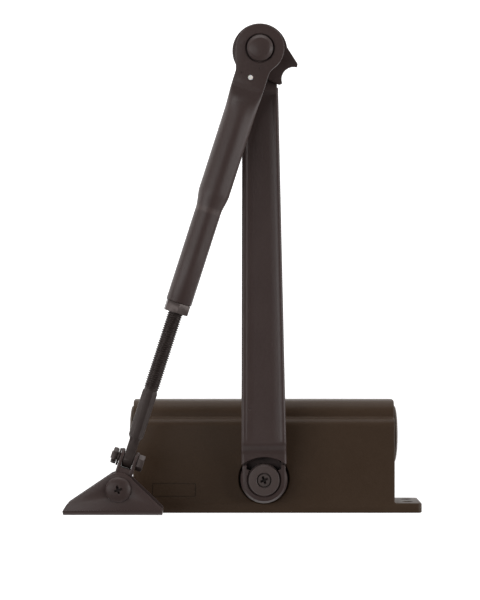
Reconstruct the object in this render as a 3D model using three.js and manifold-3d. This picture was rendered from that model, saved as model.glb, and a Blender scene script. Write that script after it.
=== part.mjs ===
// A surface-mounted rack and pinion door closer with a scissor arm.
// Millimetres. +Z runs up along the pinion shaft, the door's face is the plane y = 0, and the
// closer stands off it towards -Y. The origin is on the door's face, level with the pinion.
import * as THREE from "three";
import { mergeVertices } from "three/addons/utils/BufferGeometryUtils.js";
import Module from "manifold-3d";

const wasm = await Module();
wasm.setup();

// ---- Driving dimensions -----------------------------------------------------------------

const GAP = 0.3;                    // clearance between neighbouring pieces
const DEG = Math.PI / 180;

// The cast body
const BODY_LENGTH = 149;
const BODY_HEIGHT = 43.5;
const SLAB_DEPTH = 54;
const SLAB_CORNER = 5;
const NOSE_DEPTH = 64;
const NOSE_HALF_HEIGHT = 17.3;
const NOSE_CORNER = 9;
const BORE_RADIUS = 15.5;
const BORE_Y = -44;
const LUG_LENGTH = 180;
const LUG_HEIGHT = BODY_HEIGHT;
const LUG_THICKNESS = 5.6;
const LUG_HOLE_X = 82.5;
const LUG_HOLE_Z = 9.5;
const SCREW_CLEARANCE_RADIUS = 2.9;
const PLATE_RECESS = { x0: 38.6, x1: 63.8, y0: -17.2, y1: -9.1, depth: 0.4 };

// The pinion and its rack
const PINION_Y = -19.5;
const PITCH_RADIUS = 11.5;
const TOOTH_COUNT = 12;
const TIP_RADIUS = 13.2;
const ROOT_RADIUS = 9.3;
const FACE_HALF_WIDTH = 8;
const PRESSURE_ANGLE = 20 * DEG;
const BACKLASH = 0.5;
const JOURNAL_RADIUS = 7;
const SQUARE = 9.2;
const PINION_CAVITY_RADIUS = 14.1;
const RECESS_RADIUS = 14.3;
const RECESS_DEPTH = 1.5;

// The piston and its springs
const PISTON_RADIUS = 15.2;
const PISTON_START = -10;
const PISTON_END = 47;
const RACK_TIP_Y = -29.7;
const RACK_ROOT_Y = -33.1;
const CAP_PLUG_START = 64.5;

// The speed valves
const VALVE_Y = -14;
const VALVE_Z = 10;
const VALVE_RADIUS = 2.9;
const VALVE_POCKET_START = 52;

// The arms, in plan
const ELBOW = { x: 2.5, y: -260.6 };
const FOREARM_ANGLE = 72.2 * DEG;
const ARM_LENGTH = Math.hypot(ELBOW.x, ELBOW.y - PINION_Y);
const ARM_ANGLE = Math.atan2(ELBOW.y - PINION_Y, ELBOW.x);
const TUBE_END = 148;
const THREAD_END = 198.8;
const THREAD_RADIUS = 3.4;
const BOLT_AT = 239.7;
const SWIVEL_AT = 256.65;

// The arms, in height
const HUB_BOTTOM = 23.5;
const HUB_TOP = 34;
const ARM_BOTTOM = 33;
const ARM_TOP = 42;
const EYE_BOTTOM = 41;
const EYE_TOP = 44.2;
const CLAW_TOP = 47.1;
const HEAD_BOTTOM = 60;
const HEAD_TOP = 64;
const ROD_Z = 53;

const BODY_TOP = BODY_HEIGHT / 2;
const END_X = BODY_LENGTH / 2;
const RECESS_FLOOR = BODY_TOP - RECESS_DEPTH;

// ---- Finishes ---------------------------------------------------------------------------

function finish(color, roughness, metalness) {
  return new THREE.MeshStandardMaterial({ color, roughness, metalness });
}

const BODY_PAINT = finish(0x3a2e24, 0.55, 0.2);
const ARM_PAINT = finish(0x483d3a, 0.5, 0.2);
const DARK_STEEL = finish(0x241d1b, 0.45, 0.6);
const BRIGHT_STEEL = finish(0x9a9a98, 0.3, 0.9);
const SPRING_STEEL = finish(0x4a4d52, 0.4, 0.8);
const RUBBER = finish(0x151515, 0.8, 0);
const BRASS = finish(0xb08d4a, 0.35, 0.9);
const WHITE_NYLON = finish(0xe8e2da, 0.5, 0);
const BLACK_NYLON = finish(0x1d1b1a, 0.6, 0);

// ---- Closed solids ----------------------------------------------------------------------

function manifoldOf(geometry) {
  const bare = new THREE.BufferGeometry();
  bare.setAttribute("position", geometry.getAttribute("position"));
  bare.setIndex(geometry.getIndex());
  const merged = mergeVertices(bare, 1e-4);
  const positions = merged.getAttribute("position").array;
  const corners = Array.from(merged.getIndex().array);
  const triangles = [];
  let volume = 0;
  for (let i = 0; i < corners.length; i += 3) {
    const [a, b, c] = corners.slice(i, i + 3);
    if (a !== b && b !== c && c !== a) {
      triangles.push([a, b, c]);
      const [p, q, r] = [a, b, c].map((corner) => new THREE.Vector3().fromArray(positions, corner * 3));
      volume += p.dot(q.cross(r));
    }
  }
  if (volume < 0) triangles.forEach((triangle) => triangle.reverse());
  return new wasm.Manifold(new wasm.Mesh({
    numProp: 3,
    vertProperties: Float32Array.from(positions),
    triVerts: Uint32Array.from(triangles.flat()),
  }));
}

function geometryOf(manifold) {
  const mesh = manifold.getMesh();
  const geometry = new THREE.BufferGeometry();
  geometry.setAttribute("position", new THREE.BufferAttribute(Float32Array.from(mesh.vertProperties), 3));
  geometry.setIndex(new THREE.BufferAttribute(Uint32Array.from(mesh.triVerts), 1));
  geometry.computeVertexNormals();
  return geometry;
}

function join(first, ...others) {
  return geometryOf(others.reduce((sum, other) => sum.add(manifoldOf(other)), manifoldOf(first)));
}

function cut(first, ...tools) {
  return geometryOf(tools.reduce((left, tool) => left.subtract(manifoldOf(tool)), manifoldOf(first)));
}

function common(first, second) {
  return geometryOf(manifoldOf(first).intersect(manifoldOf(second)));
}

function block(x0, x1, y0, y1, z0, z1) {
  const geometry = new THREE.BoxGeometry(x1 - x0, y1 - y0, z1 - z0);
  return geometry.translate((x0 + x1) / 2, (y0 + y1) / 2, (z0 + z1) / 2);
}

// Turned about Z from [radius, height] corners that start and end on the axis, or close.
function turned(profile, sides = 20) {
  const points = profile.map(([radius, height]) => new THREE.Vector2(radius, height));
  return new THREE.LatheGeometry(points, sides).rotateX(Math.PI / 2);
}

function disc(radius, z0, z1, sides = 20) {
  return turned([[0, z0], [radius, z0], [radius, z1], [0, z1]], sides);
}

function ring(inner, outer, z0, z1, sides = 20) {
  return turned([[inner, z0], [outer, z0], [outer, z1], [inner, z1], [inner, z0]], sides);
}

function extruded(shape, z0, z1, curveSegments = 8) {
  const geometry = new THREE.ExtrudeGeometry(shape, { depth: z1 - z0, bevelEnabled: false, curveSegments });
  return geometry.translate(0, 0, z0);
}

function outline(points) {
  return new THREE.Shape(points.map(([x, y]) => new THREE.Vector2(x, y)));
}

function hexagon(acrossFlats) {
  const radius = acrossFlats / 2 / Math.cos(30 * DEG);
  const corners = [0, 1, 2, 3, 4, 5].map((side) => {
    const angle = side * 60 * DEG;
    return [radius * Math.cos(angle), radius * Math.sin(angle)];
  });
  return outline(corners);
}

function roundedRectangle(halfWidth, halfHeight, radius) {
  const shape = new THREE.Shape();
  shape.absarc(halfWidth - radius, halfHeight - radius, radius, 0, Math.PI / 2, false);
  shape.absarc(radius - halfWidth, halfHeight - radius, radius, Math.PI / 2, Math.PI, false);
  shape.absarc(radius - halfWidth, radius - halfHeight, radius, Math.PI, Math.PI * 1.5, false);
  shape.absarc(halfWidth - radius, radius - halfHeight, radius, Math.PI * 1.5, Math.PI * 2, false);
  return shape;
}

function crossRecess(halfSpan, halfWidth, z0, z1) {
  return join(
    block(-halfSpan, halfSpan, -halfWidth, halfWidth, z0, z1),
    block(-halfWidth, halfWidth, -halfSpan, halfSpan, z0, z1),
  );
}

// A solid through rings of points: each section is {x, half, bottom, top, power}, a
// rounded rectangle whose corners tighten as power grows and turn round at 2.
function lofted(sections, sides = 24) {
  const positions = [];
  const index = [];
  sections.forEach(({ x, half, bottom, top, power }) => {
    for (let side = 0; side < sides; side += 1) {
      const angle = (side + 0.5) * 2 * Math.PI / sides;
      const across = Math.sign(Math.cos(angle)) * Math.abs(Math.cos(angle)) ** (2 / power);
      const upward = Math.sign(Math.sin(angle)) * Math.abs(Math.sin(angle)) ** (2 / power);
      positions.push(x, half * across, (top + bottom) / 2 + (top - bottom) / 2 * upward);
    }
  });
  for (let section = 1; section < sections.length; section += 1) {
    for (let side = 0; side < sides; side += 1) {
      const near = (section - 1) * sides;
      const next = (side + 1) % sides;
      index.push(near + side, near + next, near + sides + side);
      index.push(near + next, near + sides + next, near + sides + side);
    }
  }
  const last = (sections.length - 1) * sides;
  for (let side = 1; side < sides - 1; side += 1) {
    index.push(0, side + 1, side);
    index.push(last, last + side, last + side + 1);
  }
  const geometry = new THREE.BufferGeometry();
  geometry.setAttribute("position", new THREE.Float32BufferAttribute(positions, 3));
  geometry.setIndex(index);
  return geometry;
}

// Turns a solid made along Z so that it runs along another axis.
const alongX = (geometry) => geometry.rotateY(Math.PI / 2);
const alongMinusX = (geometry) => geometry.rotateY(-Math.PI / 2);
const alongMinusY = (geometry) => geometry.rotateX(Math.PI / 2);

function named(name, geometry, material) {
  const mesh = new THREE.Mesh(geometryOf(manifoldOf(geometry)), material);
  mesh.name = name;
  return mesh;
}

function placed(x, y, turn, ...children) {
  const group = new THREE.Group();
  group.position.set(x, y, 0);
  group.rotation.z = turn;
  group.add(...children);
  return group;
}

// ---- The body casting -------------------------------------------------------------------

function slabSection() {
  const inner = BODY_TOP - SLAB_CORNER;
  const shape = new THREE.Shape();
  shape.moveTo(BODY_TOP, 0);
  shape.lineTo(-BODY_TOP, 0);
  shape.absarc(-inner, SLAB_CORNER - SLAB_DEPTH, SLAB_CORNER, Math.PI, Math.PI * 1.5, false);
  shape.absarc(inner, SLAB_CORNER - SLAB_DEPTH, SLAB_CORNER, Math.PI * 1.5, Math.PI * 2, false);
  return shape;
}

// The part that holds the cylinder: lower than the slab, and rounded along its nose.
function noseSection() {
  const shape = new THREE.Shape();
  const inner = NOSE_HALF_HEIGHT - NOSE_CORNER;
  shape.moveTo(NOSE_HALF_HEIGHT, -30);
  shape.lineTo(-NOSE_HALF_HEIGHT, -30);
  shape.absarc(-inner, NOSE_CORNER - NOSE_DEPTH, NOSE_CORNER, Math.PI, Math.PI * 1.5, false);
  shape.absarc(inner, NOSE_CORNER - NOSE_DEPTH, NOSE_CORNER, Math.PI * 1.5, Math.PI * 2, false);
  return shape;
}

function valveBore(z) {
  const pocket = alongX(disc(VALVE_RADIUS + GAP, VALVE_POCKET_START, END_X + 1, 16));
  const passage = alongMinusY(disc(1.2, 0, -BORE_Y + VALVE_Y - 6, 8));
  return join(pocket.translate(0, VALVE_Y, z), passage.translate(VALVE_POCKET_START + 4, VALVE_Y, z));
}

function housing() {
  const slab = alongX(extruded(slabSection(), -END_X, END_X));
  const nose = alongX(extruded(noseSection(), -END_X, END_X));
  const lugOutline = roundedRectangle(LUG_LENGTH / 2, LUG_HEIGHT / 2, 3);
  const lugs = alongMinusY(extruded(lugOutline, 0, LUG_THICKNESS, 5));
  const bore = alongX(disc(BORE_RADIUS, -END_X - 1, END_X + 1, 40)).translate(0, BORE_Y, 0);
  const pinionStack = turned([
    [0, -BODY_TOP - 1], [RECESS_RADIUS, -BODY_TOP - 1], [RECESS_RADIUS, -RECESS_FLOOR],
    [9.6, -RECESS_FLOOR], [9.6, -16.3], [11.2, -16.3], [11.2, -9.8],
    [PINION_CAVITY_RADIUS, -9.8], [PINION_CAVITY_RADIUS, RECESS_FLOOR],
    [RECESS_RADIUS, RECESS_FLOOR], [RECESS_RADIUS, BODY_TOP + 1], [0, BODY_TOP + 1],
  ], 36).translate(0, PINION_Y, 0);
  const { x0, x1, y0, y1, depth } = PLATE_RECESS;
  const plateRecess = block(x0, x1, y0, y1, BODY_TOP - depth, BODY_TOP + 1);
  const lugHoles = [];
  for (const x of [-LUG_HOLE_X, LUG_HOLE_X]) {
    for (const z of [-LUG_HOLE_Z, LUG_HOLE_Z]) {
      const hole = alongMinusY(disc(SCREW_CLEARANCE_RADIUS, -1, LUG_THICKNESS + 1, 16));
      lugHoles.push(hole.translate(x, 0, z));
    }
  }
  const valveBores = [valveBore(-VALVE_Z), valveBore(VALVE_Z)];
  return cut(join(slab, nose, lugs), bore, pinionStack, plateRecess, ...lugHoles, ...valveBores);
}

function endCap(pilotLength) {
  const plug = turned([
    [0, CAP_PLUG_START - pilotLength], [5, CAP_PLUG_START - pilotLength], [5.4, CAP_PLUG_START],
    [15.2, CAP_PLUG_START], [15.2, 66.4], [13.4, 66.4], [13.4, 69], [15.2, 69],
    [15.2, END_X + GAP], [16.1, END_X + GAP], [16.1, END_X + 1.2], [12, END_X + 2.2], [0, END_X + 2.6],
  ]);
  const key = extruded(hexagon(10), END_X, END_X + 4);
  return cut(plug, key);
}

function capSeal() {
  return new THREE.TorusGeometry(14.45, 0.75, 6, 20).translate(0, 0, 67.7);
}

function pinionGland() {
  return turned([
    [11.2, 12], [13.8, 12], [13.8, RECESS_FLOOR - GAP], [9.2, RECESS_FLOOR - GAP],
    [9.2, 17.2], [11.2, 17.2], [11.2, 12],
  ]);
}

function spindleCap() {
  return turned([
    [0, -29.2], [7.6, -29.2], [7.6, -20.6], [13.9, -20.6], [13.9, -22.4], [9.8, -22.4],
    [9.6, -29.8], [8.8, -30.6], [0, -30.6],
  ]);
}

function valveScrew() {
  const start = VALVE_POCKET_START + 1;
  const stem = turned([
    [0, start], [1, start], [VALVE_RADIUS, start + 8], [VALVE_RADIUS, start + 14], [1.9, start + 14],
    [1.9, start + 16], [VALVE_RADIUS, start + 16], [VALVE_RADIUS, END_X - 1.5], [0, END_X - 1.5],
  ], 16);
  return cut(stem, extruded(hexagon(3), END_X - 4.5, END_X));
}

function valveSeal() {
  return new THREE.TorusGeometry(2.55, 0.4, 5, 12).translate(0, 0, VALVE_POCKET_START + 16);
}

// ---- The pinion -------------------------------------------------------------------------

function involute(angle) {
  return Math.tan(angle) - angle;
}

// Half of a tooth's angle at a radius; below the base circle the flank is radial.
function toothHalfAngle(radius) {
  const baseRadius = PITCH_RADIUS * Math.cos(PRESSURE_ANGLE);
  const atPitch = (Math.PI * PITCH_RADIUS / TOOTH_COUNT - BACKLASH) / 2 / PITCH_RADIUS;
  const angle = Math.acos(Math.min(1, baseRadius / radius));
  return atPitch + involute(PRESSURE_ANGLE) - involute(angle);
}

function gearOutline() {
  const rising = [ROOT_RADIUS, PITCH_RADIUS * Math.cos(PRESSURE_ANGLE), PITCH_RADIUS, 12.4, TIP_RADIUS];
  const falling = [...rising].reverse();
  const points = [];
  for (let tooth = 0; tooth < TOOTH_COUNT; tooth += 1) {
    const middle = tooth * 2 * Math.PI / TOOTH_COUNT - Math.PI / 2;
    for (const [radii, side] of [[rising, -1], [falling, 1]]) {
      for (const radius of radii) {
        const angle = middle + side * toothHalfAngle(radius);
        points.push([radius * Math.cos(angle), radius * Math.sin(angle)]);
      }
    }
  }
  return outline(points);
}

function pinionShaft() {
  const half = SQUARE / 2;
  const shaft = join(
    disc(JOURNAL_RADIUS, -RECESS_FLOOR, RECESS_FLOOR),
    extruded(gearOutline(), -FACE_HALF_WIDTH, FACE_HALF_WIDTH),
    block(-half, half, -half, half, -28.6, HUB_TOP - 1.4),
  );
  return cut(shaft, disc(2.6, 20, HUB_TOP, 16));
}

// ---- The piston -------------------------------------------------------------------------

function rackSpaces() {
  const pitch = 2 * Math.PI * PITCH_RADIUS / TOOTH_COUNT;
  const pitchLineY = PINION_Y - PITCH_RADIUS;
  const slope = Math.tan(PRESSURE_ANGLE);
  const top = PINION_Y - ROOT_RADIUS;
  const topHalf = pitch / 4 + (top - pitchLineY) * slope;
  const rootHalf = pitch / 4 + (RACK_ROOT_Y - pitchLineY) * slope;
  const space = outline([
    [-topHalf, top], [-rootHalf, RACK_ROOT_Y], [rootHalf, RACK_ROOT_Y], [topHalf, top],
  ]);
  const spaces = [];
  for (let tooth = -1; tooth <= 6; tooth += 1) {
    spaces.push(extruded(space, -PISTON_RADIUS, PISTON_RADIUS).translate(tooth * pitch, 0, 0));
  }
  return spaces;
}

function piston() {
  const sealGroove = { start: 41.4, end: 43.6, floor: 13.6 };
  const barrel = alongX(turned([
    [0, PISTON_START], [PISTON_RADIUS, PISTON_START], [PISTON_RADIUS, sealGroove.start],
    [sealGroove.floor, sealGroove.start], [sealGroove.floor, sealGroove.end],
    [PISTON_RADIUS, sealGroove.end], [PISTON_RADIUS, PISTON_END], [0, PISTON_END],
  ], 36)).translate(0, BORE_Y, 0);
  const flat = block(PISTON_START - 1, 40, RACK_TIP_Y, RACK_TIP_Y + 2, -PISTON_RADIUS, PISTON_RADIUS);
  const hollow = alongX(turned([
    [0, PISTON_START - 1], [6.5, PISTON_START - 1], [6.5, 38], [2.9, 38], [2.9, 43], [1.4, 44.2],
    [1.4, PISTON_END + 1], [0, PISTON_END + 1],
  ], 24)).translate(0, BORE_Y, 0);
  return cut(barrel, flat, hollow, ...rackSpaces());
}

function pistonSeal() {
  return alongX(ring(13.9, 15.35, 41.7, 43.3, 24)).translate(0, BORE_Y, 0);
}

function checkBall() {
  return new THREE.SphereGeometry(2.3, 12, 8).translate(40.8, BORE_Y, 0);
}

function checkRetainer() {
  return alongX(ring(1.5, 6.1, 36.6, 37.7, 20)).translate(0, BORE_Y, 0);
}

// ---- The closing springs ----------------------------------------------------------------

class Coil extends THREE.Curve {
  constructor(radius, turns, x0, x1) {
    super();
    Object.assign(this, { radius, turns, x0, x1 });
  }

  getPoint(t, target = new THREE.Vector3()) {
    const angle = t * this.turns * 2 * Math.PI;
    const x = this.x0 + (this.x1 - this.x0) * t;
    return target.set(x, BORE_Y + this.radius * Math.cos(angle), this.radius * Math.sin(angle));
  }
}

function spring(radius, wireRadius, turns, stepsPerTurn) {
  const clearance = wireRadius + GAP;
  const path = new Coil(radius, turns, -CAP_PLUG_START + clearance, PISTON_START - clearance);
  const section = new THREE.Shape();
  section.absarc(0, 0, wireRadius, 0, Math.PI * 2, false);
  const options = { steps: Math.round(turns * stepsPerTurn), extrudePath: path, curveSegments: 3 };
  return new THREE.ExtrudeGeometry(section, options);
}

// ---- The main arm, along +X from the pinion -----------------------------------------------

const ARM_START = 6;
const ARM_STRAIGHT_END = 222;
const ARM_WIDTH_AT_PINION = 25.7;
const ARM_WIDTH_AT_ELBOW = 20.3;
const FLANGE = 2.5;
const WEB = 2.5;
const BEND_X = 20.6;
const LIP_TOP = 38;

function armHalfWidth(x) {
  const share = x / ARM_STRAIGHT_END;
  return (ARM_WIDTH_AT_PINION + (ARM_WIDTH_AT_ELBOW - ARM_WIDTH_AT_PINION) * share) / 2;
}

function armPlan(x0, x1, inset) {
  const [start, end] = [armHalfWidth(x0) - inset, armHalfWidth(x1) - inset];
  return outline([[x0, -start], [x1, -end], [x1, end], [x0, start]]);
}

function sideProfile(points, halfWidth) {
  return alongMinusY(extruded(outline(points), -halfWidth, halfWidth));
}

function mainArm() {
  const hub = disc(13.3, HUB_BOTTOM, HUB_TOP, 36);
  const channel = extruded(armPlan(ARM_START, ARM_STRAIGHT_END, 0), ARM_BOTTOM, ARM_TOP);
  const cheeks = extruded(armPlan(ARM_START, 24, 0), HUB_BOTTOM + 4, LIP_TOP);
  const slope = sideProfile([[0, LIP_TOP], [16.8, LIP_TOP], [BEND_X, ARM_TOP], [BEND_X, 50], [0, 50]], 20);
  const hollow = common(
    sideProfile([
      [-6, 20], [-6, LIP_TOP - WEB], [17.6, LIP_TOP - WEB], [BEND_X + 1, ARM_TOP - WEB],
      [ARM_STRAIGHT_END - 4, ARM_TOP - WEB], [ARM_STRAIGHT_END - 4, 20],
    ], 20),
    extruded(armPlan(-6, ARM_STRAIGHT_END - 4, FLANGE), 20, ARM_TOP),
  );
  const faceInset = extruded(armPlan(BEND_X + 2, ARM_STRAIGHT_END - 3, 2.4), ARM_TOP - 0.6, ARM_TOP + 1);
  const lipCut = disc(21, LIP_TOP - WEB - 1.5, ARM_TOP + 1, 48).translate(-7.5, 0, 0);
  const strip = cut(join(channel, cheeks), slope, hollow, faceInset, lipCut);
  const eye = join(
    disc(11.5, EYE_BOTTOM, EYE_TOP).translate(ARM_LENGTH, 0, 0),
    extruded(outline([[218, -9.2], [ARM_LENGTH, -10], [ARM_LENGTH, 10], [218, 9.2]]), EYE_BOTTOM, EYE_TOP),
  );
  const squareHole = block(-4.9, 4.9, -4.9, 4.9, 20, 40);
  const washerSeat = disc(9.4, HUB_TOP - 1, 37);
  const studHole = disc(4.3, 35, 50, 20).translate(ARM_LENGTH, 0, 0);
  return cut(join(strip, hub, eye), squareHole, washerSeat, studHole);
}

function armWasher() {
  return turned([[2.6, 33.3], [8.6, 33.3], [8.6, 35.4], [4.2, 35.4], [2.6, 33.8], [2.6, 33.3]]);
}

function armScrew() {
  const screw = turned([[0, 22], [2.2, 22], [2.2, 33.6], [3.6, 35], [0, 35]], 20);
  return cut(screw, crossRecess(2, 0.5, 33.6, 36));
}

// ---- The elbow --------------------------------------------------------------------------

function elbowStud() {
  return turned([
    [0, 37.4], [6.4, 37.4], [6.4, 40.6], [4, 40.6], [4, 47.4], [4.9, 47.4], [4.9, 62.8],
    [7.2, 62.8], [7.2, 65.6], [5.3, 67], [0, 67],
  ], 24);
}

function elbowSpacer() {
  return ring(5.2, 8, CLAW_TOP + GAP, HEAD_BOTTOM - GAP);
}

// A disc with a hooked claw on one side; its notch catches the hold-open pin.
function holdOpenDisc() {
  const shape = new THREE.Shape();
  shape.absarc(0, 0, 15.4, 187.7 * DEG, 461 * DEG, false);
  shape.lineTo(-10.9, 19.1);
  shape.absarc(-19, 15.8, 6.8, 23.5 * DEG, -108 * DEG, true);
  shape.lineTo(-21.2, 7.3);
  return cut(extruded(shape, EYE_TOP + GAP, CLAW_TOP, 12), disc(4.3, 40, 50));
}

// ---- The forearm, along +X from the elbow --------------------------------------------------

function forearmTube() {
  const tube = alongX(turned([
    [0, 35], [8.75, 35], [8.75, 83], [7.3, 95], [7.3, TUBE_END], [4.4, TUBE_END], [4.4, 112],
    [6.9, 97], [6.9, 40], [0, 40],
  ])).translate(0, 0, ROD_Z);
  const head = disc(13.4, HEAD_BOTTOM, HEAD_TOP, 36);
  const flattened = lofted([
    { x: 6, half: 9.2, bottom: HEAD_BOTTOM, top: HEAD_TOP, power: 8 },
    { x: 24, half: 9.1, bottom: HEAD_BOTTOM, top: HEAD_TOP, power: 8 },
    { x: 28, half: 9, bottom: 56, top: 63.7, power: 4 },
    { x: 33, half: 8.8, bottom: 47.5, top: 62, power: 2.4 },
    { x: 38, half: 8.75, bottom: 44.25, top: 61.75, power: 2 },
  ]);
  const seat = turned([[0, 55], [5.2, 55], [5.2, 62.5], [8.1, 62.5], [8.1, 70], [0, 70]]);
  const pinHole = disc(1.8, 50, 70, 12).translate(17.2, 0, 0);
  const inside = alongX(disc(6.9, 36, 42)).translate(0, 0, ROD_Z);
  return cut(join(tube, head, flattened), seat, pinHole, inside);
}

function holdOpenPin() {
  return disc(1.5, 45, HEAD_TOP + 0.3, 12).translate(17.2, 0, 0);
}

function jamNut() {
  const nut = alongX(extruded(hexagon(13), TUBE_END + GAP, TUBE_END + 5.9));
  return cut(nut, alongX(disc(4.2, TUBE_END, TUBE_END + 6, 20))).translate(0, 0, ROD_Z);
}

function threadedRod() {
  const rod = alongX(disc(THREAD_RADIUS, 114, THREAD_END + 1, 20));
  const shank = alongX(turned([[0, THREAD_END], [4.4, THREAD_END], [4.4, 226], [3, 229], [0, 229]], 20));
  const flat = block(225, BOLT_AT, -2.15, 2.15, -4, 4);
  const eye = alongMinusY(disc(4.6, -2.15, 2.15, 20)).translate(BOLT_AT, 0, 0);
  const hole = alongMinusY(disc(2.8, -5, 5, 16)).translate(BOLT_AT, 0, 0);
  return cut(join(rod, shank, flat, eye), hole).translate(0, 0, ROD_Z);
}

// ---- The swivel at the end of the rod -----------------------------------------------------

function yoke() {
  const earReach = 5.4;
  const parts = [-4.8, 3].flatMap((start) => [
    block(BOLT_AT, SWIVEL_AT - 3, start, start + 1.8, -earReach, earReach),
    alongMinusY(disc(earReach, -start - 1.8, -start, 20)).translate(BOLT_AT, 0, 0),
  ]);
  const base = block(BOLT_AT + 5, SWIVEL_AT, -4.8, 4.8, -earReach, earReach);
  const barrel = disc(6.4, -8, 8).translate(SWIVEL_AT, 0, 0);
  const boltHole = alongMinusY(disc(2.8, -9, 9, 16)).translate(BOLT_AT, 0, 0);
  const screwHole = disc(3.3, -10, 10, 20).translate(SWIVEL_AT, 0, 0);
  return cut(join(base, barrel, ...parts), boltHole, screwHole).translate(0, 0, ROD_Z);
}

// The bolt's head is on the +Y side of the rod and its nut on the -Y side.
function yokeBolt() {
  const shank = disc(2.5, -5.6, 10, 16);
  const head = extruded(hexagon(8), -8.8, -5.1);
  return alongMinusY(join(shank, head)).translate(BOLT_AT, 0, ROD_Z);
}

function yokeWasher() {
  return alongMinusY(ring(2.8, 5, 5.1, 6.1, 20)).translate(BOLT_AT, 0, ROD_Z);
}

function yokeNut() {
  const nut = cut(extruded(hexagon(8), 6.4, 9.3), disc(2.8, 5, 12, 16));
  return alongMinusY(nut).translate(BOLT_AT, 0, ROD_Z);
}

// ---- The frame bracket, with its pivot at the origin ----------------------------------------

const SHEET = 2.2;
const BRACKET_BOTTOM = 42.4;
const BRACKET_TOP = 63.7;
const FRAME_FACE = 14.3;
const BRACKET_LEFT = -24.3;
const BRACKET_RIGHT = 31;

function bracketPlan() {
  const shape = new THREE.Shape();
  shape.absarc(0, 0, 9.4, 217 * DEG, 298 * DEG, false);
  shape.lineTo(28.5, 7.9);
  shape.lineTo(BRACKET_RIGHT, 12);
  shape.lineTo(BRACKET_RIGHT - 0.6, FRAME_FACE);
  shape.lineTo(BRACKET_LEFT, FRAME_FACE);
  shape.lineTo(BRACKET_LEFT, 10.5);
  return shape;
}

function bracket() {
  const lower = extruded(bracketPlan(), BRACKET_BOTTOM, BRACKET_BOTTOM + SHEET, 10);
  const upper = extruded(bracketPlan(), BRACKET_TOP - SHEET, BRACKET_TOP, 10);
  const [start, end] = [BRACKET_LEFT, BRACKET_RIGHT - 0.6];
  const web = block(start, end, FRAME_FACE - SHEET, FRAME_FACE, BRACKET_BOTTOM, BRACKET_TOP);
  const holes = [-15, 21].map((x) => {
    const hole = alongMinusY(disc(2.6, -FRAME_FACE - 1, -8, 16));
    return hole.translate(x, 0, (BRACKET_BOTTOM + BRACKET_TOP) / 2);
  });
  return cut(join(lower, upper, web), disc(3.3, 40, 70, 20), ...holes);
}

function pivotScrew() {
  const screw = turned([
    [0, 38.6], [2.9, 38.6], [2.9, BRACKET_TOP + GAP], [7.1, BRACKET_TOP + GAP], [6.9, 65.4],
    [4.6, 66.5], [0, 66.9],
  ]);
  return cut(screw, crossRecess(2.7, 0.6, 65.4, 68).rotateZ(15 * DEG));
}

function pivotNut() {
  return cut(extruded(hexagon(9), 39, BRACKET_BOTTOM - GAP), disc(3.2, 38, 43, 20));
}

// ---- The assembly -----------------------------------------------------------------------

const atBore = (geometry) => geometry.translate(0, BORE_Y, 0);
const atValve = (geometry, z) => geometry.translate(0, VALVE_Y, z);

const body = placed(
  0, 0, 0,
  named("housing", housing(), BODY_PAINT),
  named("valve_end_cap", atBore(alongX(endCap(0))), BODY_PAINT),
  named("spring_end_cap", atBore(alongMinusX(endCap(7))), BODY_PAINT),
  named("valve_end_seal", atBore(alongX(capSeal())), RUBBER),
  named("spring_end_seal", atBore(alongMinusX(capSeal())), RUBBER),
  named("closing_valve", atValve(alongX(valveScrew()), VALVE_Z), BRASS),
  named("latch_valve", atValve(alongX(valveScrew()), -VALVE_Z), BRASS),
  named("closing_valve_seal", atValve(alongX(valveSeal()), VALVE_Z), RUBBER),
  named("latch_valve_seal", atValve(alongX(valveSeal()), -VALVE_Z), RUBBER),
  named("piston", piston(), BRIGHT_STEEL),
  named("piston_seal", pistonSeal(), BLACK_NYLON),
  named("check_ball", checkBall(), BRIGHT_STEEL),
  named("check_retainer", checkRetainer(), BRIGHT_STEEL),
  named("outer_spring", spring(12.6, 1.9, 5.5, 12), SPRING_STEEL),
  named("inner_spring", spring(8.5, 1.3, 8, 9), SPRING_STEEL),
);

const pinionStack = placed(
  0, PINION_Y, 0,
  named("pinion_gland", pinionGland(), DARK_STEEL),
  named("upper_bearing", ring(7.3, 10.9, 12.3, 16.9), BRIGHT_STEEL),
  named("lower_bearing", ring(7.3, 10.9, -16, -10.1), BRIGHT_STEEL),
  named("upper_shaft_seal", ring(7.3, 8.9, 17.5, 19.6), RUBBER),
  named("lower_shaft_seal", ring(7.3, 9.3, -19.8, -16.6), RUBBER),
  named("spindle_cap", spindleCap(), BLACK_NYLON),
  named("pinion_shaft", pinionShaft(), BRIGHT_STEEL),
  named("arm_washer", armWasher(), ARM_PAINT),
  named("arm_screw", armScrew(), DARK_STEEL),
);

const armGroup = placed(
  0, PINION_Y, ARM_ANGLE,
  named("main_arm", mainArm(), ARM_PAINT),
);

const elbowGroup = placed(
  ELBOW.x, ELBOW.y, 0,
  named("elbow_stud", elbowStud(), ARM_PAINT),
  named("elbow_spacer", elbowSpacer(), DARK_STEEL),
  named("hold_open_disc", holdOpenDisc(), ARM_PAINT),
);

const forearmGroup = placed(
  ELBOW.x, ELBOW.y, FOREARM_ANGLE,
  named("forearm_tube", forearmTube(), ARM_PAINT),
  named("hold_open_pin", holdOpenPin(), WHITE_NYLON),
  named("jam_nut", jamNut(), DARK_STEEL),
  named("threaded_rod", threadedRod(), DARK_STEEL),
  named("yoke", yoke(), ARM_PAINT),
  named("yoke_bolt", yokeBolt(), DARK_STEEL),
  named("yoke_washer", yokeWasher(), DARK_STEEL),
  named("yoke_nut", yokeNut(), DARK_STEEL),
);

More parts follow.
